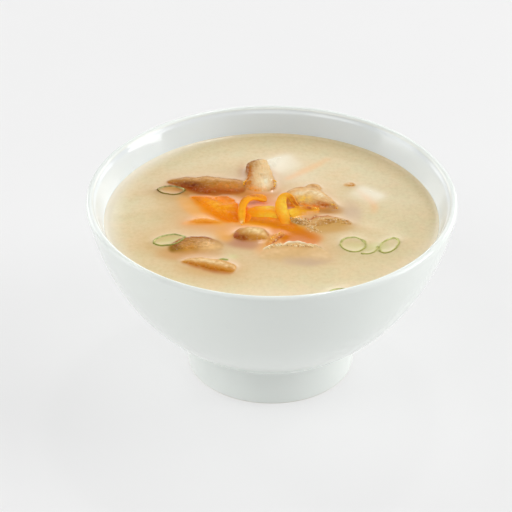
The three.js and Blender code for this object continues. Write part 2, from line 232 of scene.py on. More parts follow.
def spineCurve(spine):  # a centripetal curve through the spine, by length
    p = np.array([(x, y, soupLevel + z) for x, y, z in spine])
    p = np.vstack([2 * p[0] - p[1], p, 2 * p[-1] - p[-2]])
    t = np.linspace(0, 1, 80)[:, None]
    fine = []
    for a, b, c, d in zip(p, p[1:], p[2:], p[3:]):
        g0, g1, g2 = (np.linalg.norm(v - u) ** 0.5 for u, v in ((a, b), (b, c), (c, d)))
        start = g1 * ((b - a) / g0 - (c - a) / (g0 + g1) + (c - b) / g1)
        end = g1 * ((c - b) / g1 - (d - b) / (g1 + g2) + (d - c) / g2)
        cube = 2 * (b - c) + start + end
        fine.append(b + start * t + (3 * (c - b) - 2 * start - end) * t ** 2 + cube * t ** 3)
    fine = np.vstack([fine[0]] + [row[1:] for row in fine[1:]])
    far = np.concatenate([[0], np.cumsum(np.linalg.norm(np.diff(fine, axis=0), axis=1))])
    return fine, far


def opened(place, rounding):  # how far a rounded end has opened
    blunt = 0.12
    inward = np.clip(np.minimum(place, 1 - place) / rounding, 0, 1)
    return blunt + (1 - blunt) * np.sqrt(1 - (1 - inward) ** 2)


stripForm = dict(
    spacing=0.36, crowding=0.8,  # the mesh's step, and how far its rows crowd to the ends
    squareness=0.7,              # of the section: below 1 it is a rounded oblong
    tearPitch=2.2,               # of the torn edges
    groovePitch=(9, 0.7),        # of a shred's grooves, along and across
)


# A piece is swept along its spine. Cup bends both edges up, droop lets one down, and perk lifts the other.
def strip(spine, width, thick, seed, roll=0, cup=0, droop=0, perk=0, ruffle=0, rounding=0.08,
          ragged=0, relief=0, grain=1.6, fibre=0, **_):
    form = stripForm
    fine, far = spineCurve(spine)
    steps = max(20, round(far[-1] / form["spacing"]))
    even = np.arange(steps + 1) / steps
    place = lerp(even, (1 - np.cos(np.pi * even)) / 2, form["crowding"])
    centre = np.stack([np.interp(place * far[-1], far, fine[:, i]) for i in range(3)], 1)
    ahead = np.gradient(centre, axis=0)
    ahead /= np.linalg.norm(ahead, axis=1)[:, None]
    side = np.cross(ahead, (0, 0, 1))
    side /= np.linalg.norm(side, axis=1)[:, None]
    turn = np.radians(along(roll, place))[:, None]
    side = side * np.cos(turn) + np.cross(ahead, side) * np.sin(turn)
    over = np.cross(side, ahead)

    end = opened(place, rounding)
    halfWidth = along(width, place) / 2 * (1 + ruffle * np.sin(place * 23) * np.sin(place * 9 + 1)) * end
    halfThick = along(thick, place) / 2 * np.sqrt(end)
    around = max(14, round(2 * (halfWidth.max() + halfThick.max()) * 2 / form["spacing"]))
    across, high = section(around, form["squareness"])

    run = place * far[-1]  # each edge is torn in its own way
    edges = [roughLine(run / form["tearPitch"], edge, seed, seed)[:, None] for edge in (7.7, 15.4)]
    tear = np.where(across[None, :] > 0, *edges) * ragged * np.abs(across) ** 2
    reach = across[None, :] * halfWidth[:, None] + np.sign(across) * tear * end[:, None]
    hang = cup * across ** 2 - droop * np.clip(across, 0, 1) ** 2 + perk * np.clip(-across, 0, 1) ** 4
    lift = high[None, :] * halfThick[:, None] + hang[None, :] * end[:, None] ** 2
    points = centre[:, None] + side[:, None] * reach[..., None] + over[:, None] * lift[..., None]

    outward = side[:, None] * (across[None, :] / (halfWidth[:, None] + 0.3))[..., None] \
        + over[:, None] * (high[None, :] / (halfThick[:, None] + 0.3))[..., None]
    outward /= np.linalg.norm(outward, axis=2)[..., None]
    swell = np.zeros(points.shape[:2])
    if relief:
        swell += relief * rough(points.reshape(-1, 3), grain, seed).reshape(swell.shape)
    if fibre:  # fine grooves that run along a shred
        pitch, apart = form["groovePitch"]
        rows = np.repeat(run[:, None], around, 1) / pitch
        lines = np.stack([rows, reach / apart, high[None, :] + 0 * reach], 2)
        swell += fibre * rough(lines.reshape(-1, 3), 1, seed + 3, 2).reshape(swell.shape)
    points = points + outward * (swell * np.minimum(end, 1)[:, None])[..., None]

    hubs = [points[0].mean(0), points[-1].mean(0)]
    last, total = steps * around, (steps + 1) * around
    faces = quadSkin(steps + 1, around)
    faces += [(total, k, (k + 1) % around) for k in range(around)]
    faces += [(total + 1, last + (k + 1) % around, last + k) for k in range(around)]
    place = np.append(np.repeat(place, around), [0, 1])
    across, high = (np.append(np.tile(row, steps + 1), [0, 0]) for row in (across, high))
    reach, lift = (np.append(sheet.ravel(), [0, 0]) for sheet in (reach, lift))
    lay = np.stack([place * far[-1], reach, lift], 1)
    return np.vstack([points.reshape(-1, 3), hubs]), faces, place, across, high, lay


ringForm = dict(
    spacing=0.3, around=12, squareness=0.6,  # the mesh, and the wall's section
    tall=1.4, wander=0.34,   # the wall's height, and how far the ring strays from an ellipse
    uneven=0.35, sway=0.18,  # how its thickness and its height vary
    knotReach=9,             # degrees
)


def ringWall(at, radii, seed, heading=0, start=0, sweep=360, wall=0.5, lift=-0.1, point=1, knots=(), **_):
    form = ringForm
    whole = sweep >= 360
    steps = round(math.pi * sum(radii) / form["spacing"] * sweep / 360)
    place = np.arange(steps if whole else steps + 1) / steps
    angle = np.radians(start + sweep * place)
    wobble = roughLine(np.cos(angle) * 1.1, np.sin(angle) * 1.1, seed, seed, 2) * form["wander"]
    drawn = signedPower(np.sin(angle), point)
    flat = np.stack([(radii[0] + wobble) * np.cos(angle), (radii[1] + wobble) * drawn], 1)
    ahead = np.gradient(np.vstack([flat[-1:], flat, flat[:1]]) if whole else flat, axis=0)
    ahead = ahead[1:-1] if whole else ahead
    ahead /= np.linalg.norm(ahead, axis=1)[:, None]
    outward = np.stack([ahead[:, 1], -ahead[:, 0]], 1)
    turn = math.radians(heading)
    spin = np.array([[math.cos(turn), -math.sin(turn)], [math.sin(turn), math.cos(turn)]])
    around = form["around"]
    across, high = section(around, form["squareness"])
    breadth = wall / 2 * (1 + form["uneven"] * roughLine(angle * 1.5, 0, 3, seed + 1, 2))
    for spot, growth in knots:
        apart = (np.degrees(angle) - spot + 180) % 360 - 180
        breadth = breadth + growth / 2 * np.exp(-(apart / form["knotReach"]) ** 2)
    if not whole:
        breadth = breadth * opened(place, 0.1)
    sill = lift + form["sway"] * roughLine(np.cos(angle), np.sin(angle), 9, seed + 2, 2)
    flat, outward = flat @ spin.T, outward @ spin.T
    plan = flat[:, None] + outward[:, None] * (across[None] * breadth[:, None])[..., None]
    height = soupLevel + sill[:, None] + high[None, :] * form["tall"] / 2
    points = np.dstack([plan[..., 0] + at[0], plan[..., 1] + at[1], height])
    rows = len(place)
    last = (rows - 1) * around
    faces = quadSkin(rows, around)
    if whole:
        faces += [(last + k, k, (k + 1) % around, last + (k + 1) % around) for k in range(around)]
    else:
        faces += [tuple(range(around))[::-1], tuple(last + k for k in range(around))]
        faces = [face[::-1] for face in faces]
    place, across, high = np.repeat(place, around), np.tile(across, rows), np.tile(high, rows)
    lay = np.stack([place * steps * form["spacing"], across * wall / 2, high * form["tall"] / 2], 1)
    return points.reshape(-1, 3), faces, place, across, high, lay


# The mesh's step, how round the edges are, and how deep and how wide the surface is worn.
blockForm = dict(spacing=0.4, soft=0.9, relief=0.16, grain=1.5)


def block(at, size, heading, tilt, seed, **_):
    soft, half = blockForm["soft"], np.array(size) / 2
    steps = round(max(size) / blockForm["spacing"])
    index, points, faces = {}, [], []

    def corner(cell):
        if cell not in index:
            index[cell] = len(points)
            spot = (np.array(cell) / steps * 2 - 1) * half
            core = np.clip(spot, soft - half, half - soft)
            reach = np.linalg.norm(spot - core)
            points.append(core + (spot - core) / reach * soft if reach > 1e-6 else spot)
        return index[cell]

    for axis in range(3):
        for end in (0, steps):
            for i in range(steps):
                for j in range(steps):
                    ring = []
                    for a, b in ((i, j), (i + 1, j), (i + 1, j + 1), (i, j + 1)):
                        cell = [a, b]
                        cell.insert(axis, end)
                        ring.append(corner(tuple(cell)))
                    faces.append(tuple(ring if (end > 0) == (axis != 1) else ring[::-1]))
    points = np.array(points)
    outward = points / np.linalg.norm(points, axis=1)[:, None]
    points = points + outward * (blockForm["relief"] * rough(points, blockForm["grain"], seed, 4))[:, None]
    turn = Matrix.Rotation(math.radians(heading), 3, "Z") @ Matrix.Rotation(math.radians(tilt[1]), 3, "Y") \
        @ Matrix.Rotation(math.radians(tilt[0]), 3, "X")
    placed = points @ np.array(turn).T + (at[0], at[1], soupLevel + at[2])
    return placed, faces, (points[:, 0] / size[0]) + 0.5, points[:, 1] / half[1], outward[:, 2], points


def toned(spec, points, place, across, high):  # the colours over a piece: a base with soft patches on it
    tones = np.tile(palette[spec["tone"]], (len(points), 1))
    mottle = rough(points, 1.3, spec["seed"] + 11)
    for colour, amount, (p, a), (reachP, reachA) in spec.get("patches", []):
        share = amount * np.exp(-((place - p) / reachP) ** 2 - ((across - a) / reachA) ** 2)
        share = np.clip(share * (1 + 0.8 * mottle), 0, 1)[:, None]
        tones = lerp(tones, np.array(palette[colour]), share)
    if "under" in spec:  # the sides and the underside take the spec's under colour
        tones = lerp(tones, np.array(palette[spec["under"]]), (0.85 * smooth((0.25 - high) / 0.6))[:, None])
    return np.clip(tones * (1 + spec.get("mottle", 0.12) * mottle)[:, None], 0, 1)


cameraPlace = dict(aim=(-5.423, 0, 43.265), distance=800, elevation=32.981, roll=0.189,
                   lens=157.84, sensor=36, clipStart=0.01)


def makeCamera():
    up = math.radians(cameraPlace["elevation"])
    roll = math.radians(cameraPlace["roll"])
    back = Vector((0, -math.cos(up), math.sin(up)))
    spot = (Vector(cameraPlace["aim"]) + back * cameraPlace["distance"]) * mm
    right, over = Vector((1, 0, 0)), Vector((1, 0, 0)).cross(-back)
    rows = (right * math.cos(roll) + over * math.sin(roll),
            over * math.cos(roll) - right * math.sin(roll), back)
    camera = bpy.data.objects.new("camera", bpy.data.cameras.new("camera"))
    camera.data.lens, camera.data.sensor_width = cameraPlace["lens"], cameraPlace["sensor"]
    camera.data.clip_start = cameraPlace["clipStart"]
    camera.matrix_world = Matrix.Translation(spot) @ Matrix(rows).transposed().to_4x4()
    bpy.context.scene.collection.objects.link(camera)
    bpy.context.scene.camera = camera


studio = dict(
    floor=0.35, glow=0.53,  # the floor's own colour, and the light that comes up through it
    floorReach=3.0, distance=1.1, height=0.05, boxSize=0.55, pointSize=0.1,  # metres
    # soft boxes: compass angle from the right, elevation, watts
    boxes=[(0, 18, 5.3), (45, 18, 2.5), (90, 18, 1.7), (135, 18, 2.9), (180, 18, 2.9), (225, 48, 3.1),
           (270, 48, 1.9), (0, 48, 2.4), (45, 48, 1.15), (135, 48, 0.6), (315, 5, 0.45), (225, 5, 0.25)],
    points=[(75, 60, 0.9), (150, 50, 0.5)],  # small lamps that make the wet glints
)


def makeStudio():
    scene = bpy.context.scene
    lamps = [(*lamp, studio[size]) for kind, size in (("boxes", "boxSize"), ("points", "pointSize"))
             for lamp in studio[kind]]
    for angle, elevation, power, size in lamps:
        turn, up = math.radians(angle), math.radians(elevation)
        toward = Vector((math.cos(turn) * math.cos(up), math.sin(turn) * math.cos(up), math.sin(up)))
        lamp = bpy.data.lights.new("softBox", "AREA")
        lamp.size, lamp.energy = size, power
        holder = bpy.data.objects.new("softBox", lamp)
        holder.location = toward * studio["distance"] + Vector((0, 0, studio["height"]))
        holder.rotation_euler = toward.to_track_quat("Z", "Y").to_euler()
        scene.collection.objects.link(holder)
    shade = Shade("pale floor")
    cloud = shade.grain(shade.place(), 40)
    tint = shade.mix(cloud, (studio["floor"],) * 3, (studio["floor"] * 0.97,) * 3)
    shade.finish({"Base Color": tint, "Roughness": 0.9, "Specular IOR Level": 0.0,
                  "Emission Color": (1, 1, 1), "Emission Strength": studio["glow"]})
    mesh = bpy.data.meshes.new("floor")
    reach = studio["floorReach"]
    mesh.from_pydata([(-reach, -reach, 0), (reach, -reach, 0), (reach, reach, 0), (-reach, reach, 0)], [],
                     [(0, 1, 2, 3)])
    mesh.materials.append(shade.material)
    floor = bpy.data.objects.new("floor", mesh)
    scene.collection.objects.link(floor)
    scene.view_settings.view_transform = "Standard"


bowlForm = dict(
    lipThickness=2.6, halfWidth=66.36, halfHeight=77.9, centreZ=83.15,  # the body's outside is an ellipse
    baseThickness=7.6, wallTaper=0.46,
    footTop=31.5, footBottom=30.2, footWall=4.6, footRound=0.8, footFillet=1.6, recess=7.0,
    turnSteps=256, wallSteps=64,
)


def bodyAngle(z):
    return math.acos((bowlForm["centreZ"] - z) / bowlForm["halfHeight"])


def wallPoint(angle, depth):  # a point of the wall: angle up from the axis, depth inward
    a, b = bowlForm["halfWidth"], bowlForm["halfHeight"]
    inward = np.array([-b * math.sin(angle), a * math.cos(angle)])
    return np.array([a * math.sin(angle), bowlForm["centreZ"] - b * math.cos(angle)]) \
        + inward / np.linalg.norm(inward) * depth


def lipAngle():
    radius = bowlForm["lipThickness"] / 2
    flat = bodyAngle(bowlHeight - radius)
    return bodyAngle(bowlHeight - radius - wallPoint(flat, radius)[1] + wallPoint(flat, 0)[1])


def innerPoint(angle):
    thin, thick = bowlForm["lipThickness"], bowlForm["baseThickness"]
    return wallPoint(angle, thin + (thick - thin) * (1 - angle / lipAngle()) ** bowlForm["wallTaper"])


def innerRadius(z):  # the bowl's inside at a height, found by halving
    low, high = 0.0, lipAngle()
    for _ in range(40):
        middle = (low + high) / 2
        low, high = (middle, high) if innerPoint(middle)[1] < z else (low, middle)
    return innerPoint(low)[0]


def arc(centre, radius, start, end, steps):  # angles in degrees
    angles = np.radians(np.linspace(start, end, steps + 1))
    return [np.array([centre[0] + radius * math.cos(a), centre[1] + radius * math.sin(a)]) for a in angles]


def bowlProfile():
    form = bowlForm
    fillet, ease = form["footFillet"], form["footRound"]
    recessRadius = form["footBottom"] - form["footWall"]
    neckAngle = math.asin((form["footTop"] + fillet) / form["halfWidth"])
    neck = wallPoint(neckAngle, 0)
    profile = [np.array([r, form["recess"]]) for r in np.linspace(0, recessRadius - fillet, 12)[:-1]]
    profile += arc((recessRadius - fillet, form["recess"] - fillet), fillet, 90, 0, 8)
    profile += arc((recessRadius + ease, ease), ease, 180, 270, 6)
    profile += arc((form["footBottom"] - ease, ease), ease, 270, 360, 6)
    foot = profile[-1]  # the foot leans out to its top, and runs into the body in a soft curve
    low = np.array([form["footTop"] - 0.3, neck[1] - 2 * fillet])
    pull = np.array([form["footTop"] + 0.1, neck[1] - 0.5])
    profile += [lerp(foot, low, s) for s in np.linspace(0, 1, 10)[1:-1]]
    profile += [low * (1 - s) ** 2 + pull * 2 * s * (1 - s) + neck * s * s for s in np.linspace(0, 1, 9)]
    top, steps = lipAngle(), form["wallSteps"]
    profile += [wallPoint(lerp(neckAngle, top, i / steps), 0) for i in range(1, steps + 1)]
    outer, inner = wallPoint(top, 0), wallPoint(top, form["lipThickness"])
    middle = (outer + inner) / 2
    lean = math.degrees(math.atan2(*(outer - middle)[::-1]))
    profile += arc(middle, form["lipThickness"] / 2, lean, lean + 180, 16)[1:-1]
    profile += [innerPoint(top * (1 - (i / steps) ** 1.25)) for i in range(steps + 1)]
    profile[-1][0] = 0
    return profile


def turned(profile, steps):  # a profile that starts and ends on the axis, turned
    profile = np.array(profile)
    middle = profile[1:-1]
    angles = 2 * np.pi * np.arange(steps) / steps
    ring = np.stack([np.cos(angles), np.sin(angles)], 1)
    points = [(*(r * spoke), z) for r, z in middle for spoke in ring]
    faces = [face[::-1] for face in quadSkin(len(middle), steps)]
    last = (len(middle) - 1) * steps
    hubs = len(points)
    points += [(0, 0, profile[0][1]), (0, 0, profile[-1][1])]
    faces += [(hubs, (k + 1) % steps, k) for k in range(steps)]
    faces += [(hubs + 1, last + k, last + (k + 1) % steps) for k in range(steps)]
    return np.array(points), faces


def porcelain():
    shade = Shade("white glaze")
    spot = shade.place()
    height = shade.node("ShaderNodeSeparateXYZ", None, {0: spot}, 2)
    bare = 1 - shade.span(height, 0.25, 0.75)  # the foot's rim stands unglazed
    cloud = shade.grain(spot, 30, 2)
    outer = shade.mix(cloud, screen(241, 247, 242), screen(245, 249, 245))
    # the inside's glaze is painted a cooler white: painted light that offsets the warm light the soup throws
    # on it
    inner = shade.mix(cloud, screen(238, 246, 249), screen(242, 248, 250))
    glaze = shade.mix(shade.attribute("inside", 2), outer, inner)
    speck = shade.span(shade.grain(spot, 1.1, 1), 0.76, 0.8, (0, 0.25))
    glaze = shade.mix(speck, glaze, screen(222, 222, 216))
    clay = shade.mix(shade.grain(spot, 0.7), screen(226, 220, 208), screen(208, 202, 190))
    ripple = shade.grain(spot, 9, 1) + 0.04 * shade.grain(spot, 0.5, 2) * bare
    return shade.finish({
        "Base Color": shade.mix(bare, glaze, clay),
        "Roughness": shade.span(cloud, 0.3, 0.7, (0.09, 0.14)) + bare * 0.5,
        "IOR": 1.52,
        "Normal": shade.bump(ripple, 0.03),
    })


def makeBowl():
    profile = bowlProfile()
    points, faces = turned(profile, bowlForm["turnSteps"])
    inner = np.arange(1, len(profile) - 1) > len(profile) - bowlForm["wallSteps"] - 3
    inside = np.append(np.repeat(inner, bowlForm["turnSteps"]), [0, 1])[:, None] * np.ones(3)
    buildPiece("bowlGlazed", points, faces, porcelain(), ["bowl"], dict(inside=inside))
    print("bowl:", len(points), "points")


# Places are x, y and height above the soup. Patches are colour, amount, (place along, place across) and
# their reach. Clear is how deep a piece still shows through the soup, in millimetres.

shreds = [
    dict(name="carrot_loop", slot="carrot_light", tone="marigold", under="orange",
         width=[2.2, 2.8, 3.4, 4.8], thick=1.1,
         spine=[(-10.2, -4.8, -0.4), (-10.5, -0.5, 1.4), (-10.2, 3.5, 2.6), (-8.6, 7.4, 3.1),
                (-5.6, 9.6, 2.5), (-1.6, 10.0, 1.5)],
         patches=[("sun", 0.4, (0.2, -0.2), (0.15, 0.5)), ("copper", 0.7, (0.62, -0.8), (0.2, 0.5)),
                  ("copper", 0.8, (0.78, -0.1), (0.1, 0.5)), ("orange", 0.6, (0.2, -0.9), (0.3, 0.4)),
                  # the cream at the foot is a painted glint
                  ("ember", 0.5, (0.95, 0), (0.15, 0.8)), ("cream", 0.5, (0.06, -0.2), (0.04, 0.5))]),
    dict(name="carrot_arch", slot="carrot_light", tone="gold", under="orange",
         width=[2.8, 4.0, 4.6, 4.4, 3.4, 2.6, 2.0, 1.6], thick=1.0,
         spine=[(5.8, -6.4, -0.5), (4.4, -1.4, 0.6), (3.4, 3.4, 1.7), (3.7, 7.8, 3.0), (5.0, 9.6, 3.5),
                (6.6, 8.8, 3.1), (8.4, 5.8, 2.0), (10.0, 3.4, 1.1)],
         patches=[("orange", 0.9, (0.15, -0.8), (0.25, 0.6)), ("sun", 0.9, (0.42, 0.5), (0.18, 0.7)),
                  ("copper", 0.8, (0.04, 0.9), (0.14, 0.7)), ("copper", 0.9, (0.86, 0), (0.16, 0.9))]),
    dict(name="carrot_fork", slot="carrot_light", tone="gold", under="ember", width=[5.8, 5.2, 3.2],
         thick=[2.0, 2.0, 1.6], droop=0.9, spine=[(6.0, 1.2, 0.3), (10.5, 3.0, 0.8), (16.6, 3.6, 0.8)],
         patches=[("sun", 1.0, (0.1, -0.2), (0.22, 0.9)), ("copper", 1.0, (0.68, -0.2), (0.26, 0.6)),
                  # the peach along the front edge is a painted highlight
                  ("sienna", 0.5, (0.72, 0.0), (0.14, 0.3)), ("peach", 1.0, (0.75, 0.8), (0.3, 0.22))]),
    dict(name="carrot_bar", slot="carrot_light", tone="marigold", under="orange",
         width=[6.0, 7.8, 8.4, 5.8], thick=1.3, droop=1.3,
         spine=[(-9.0, 2.4, 0.3), (-4, 2.6, 0.6), (1.4, 2.0, 0.6), (5.4, -0.8, 0.1)],
         # the first sun, along the back edge, is a painted highlight
         patches=[("sun", 0.9, (0.6, -0.7), (0.3, 0.35)), ("orange", 0.5, (0.08, 0.2), (0.2, 1)),
                  ("sun", 0.8, (0.7, 0.7), (0.35, 0.4))]),
    dict(name="carrot_upper", tone="orange", under="ember", width=[7.0, 8.2, 7.4, 6.2, 3.8], thick=1.2,
         rounding=0.2, ragged=0.5, relief=0.22,
         spine=[(-20.0, 13.6, -0.2), (-17.2, 9.8, 0.3), (-14.6, 4.8, 0.5), (-13.0, -0.4, 0.2),
                (-12.2, -3.8, -0.3)],
         patches=[("marigold", 0.9, (0.4, 0.95), (0.25, 0.3)), ("deep", 0.4, (0.85, 0.1), (0.2, 0.9)),
                  ("copper", 0.5, (0.14, -0.6), (0.16, 0.4)), ("gold", 0.6, (0.5, 0.1), (0.16, 0.5))]),
    dict(name="carrot_blade", tone="orange", under="ember", clear=1.2, width=[2.6, 7.2, 10.2, 10.0, 5.6],
         thick=1.5, roll=6, droop=1.5,
         spine=[(-29.0, 13.8, -0.6), (-24.8, 10.4, -0.2), (-20.6, 5.6, 0), (-17.0, 0.8, -0.1),
                (-13.8, -3.2, -0.4)],
         patches=[("ember", 0.8, (0.1, 0), (0.15, 1)), ("gold", 0.9, (0.5, -0.4), (0.2, 0.4)),
                  ("deep", 0.3, (0.85, 0.1), (0.2, 0.9)), ("ember", 0.7, (0.3, -0.85), (0.25, 0.2))]),
    dict(name="carrot_side", tone="orange", under="ember", width=[2.6, 4.0, 4.4, 3.0], thick=1.2,
         spine=[(-10.8, 8.0, 0.1), (-9.6, 4.0, 0.3), (-9.2, 0, 0.2), (-9.6, -4.0, -0.3)],
         patches=[("deep", 0.5, (0.85, 0), (0.3, 0.8))]),
    dict(name="carrot_under", tone="ember", under="ember", width=[5.0, 7.4, 9.6, 7.4], thick=1.2, droop=1.4,
         spine=[(-9.6, -2.2, -0.3), (-4, -2.2, -0.1), (2, -4.0, -0.1), (8.0, -8.2, -0.4)],
         patches=[("orange", 0.8, (0.45, -0.6), (0.3, 0.4)), ("copper", 0.6, (0.8, -0.8), (0.15, 0.4))]),
    dict(name="carrot_left", tone="tangerine", under="ember", width=[2.4, 5.4, 2.8], thick=1.4, roll=8,
         droop=1.0, spine=[(-31.2, -4.4, -1.0), (-24.4, -3.1, -0.3), (-17.2, -3.6, -0.8)],
         # the first peach, along the back edge, is a painted highlight
         patches=[("peach", 1.0, (0.5, -0.85), (0.4, 0.3)), ("ember", 0.8, (0.6, 0.35), (0.22, 0.35)),
                  ("peach", 0.8, (0.02, 0), (0.2, 1))]),
    dict(name="carrot_bit", tone="apricot", under="copper", look="crumbly", width=[2.0, 2.8, 3.6, 2.4],
         thick=1.4, ragged=0.45,
         spine=[(-3.0, -20.8, -0.8), (-0.8, -16.8, -0.3), (1.6, -13.2, 0.2), (4.4, -10.8, 0.1)],
         patches=[("copper", 0.9, (0.6, 0.9), (0.5, 0.4)), ("wheat", 0.4, (0.2, -0.6), (0.2, 0.5))]),
]

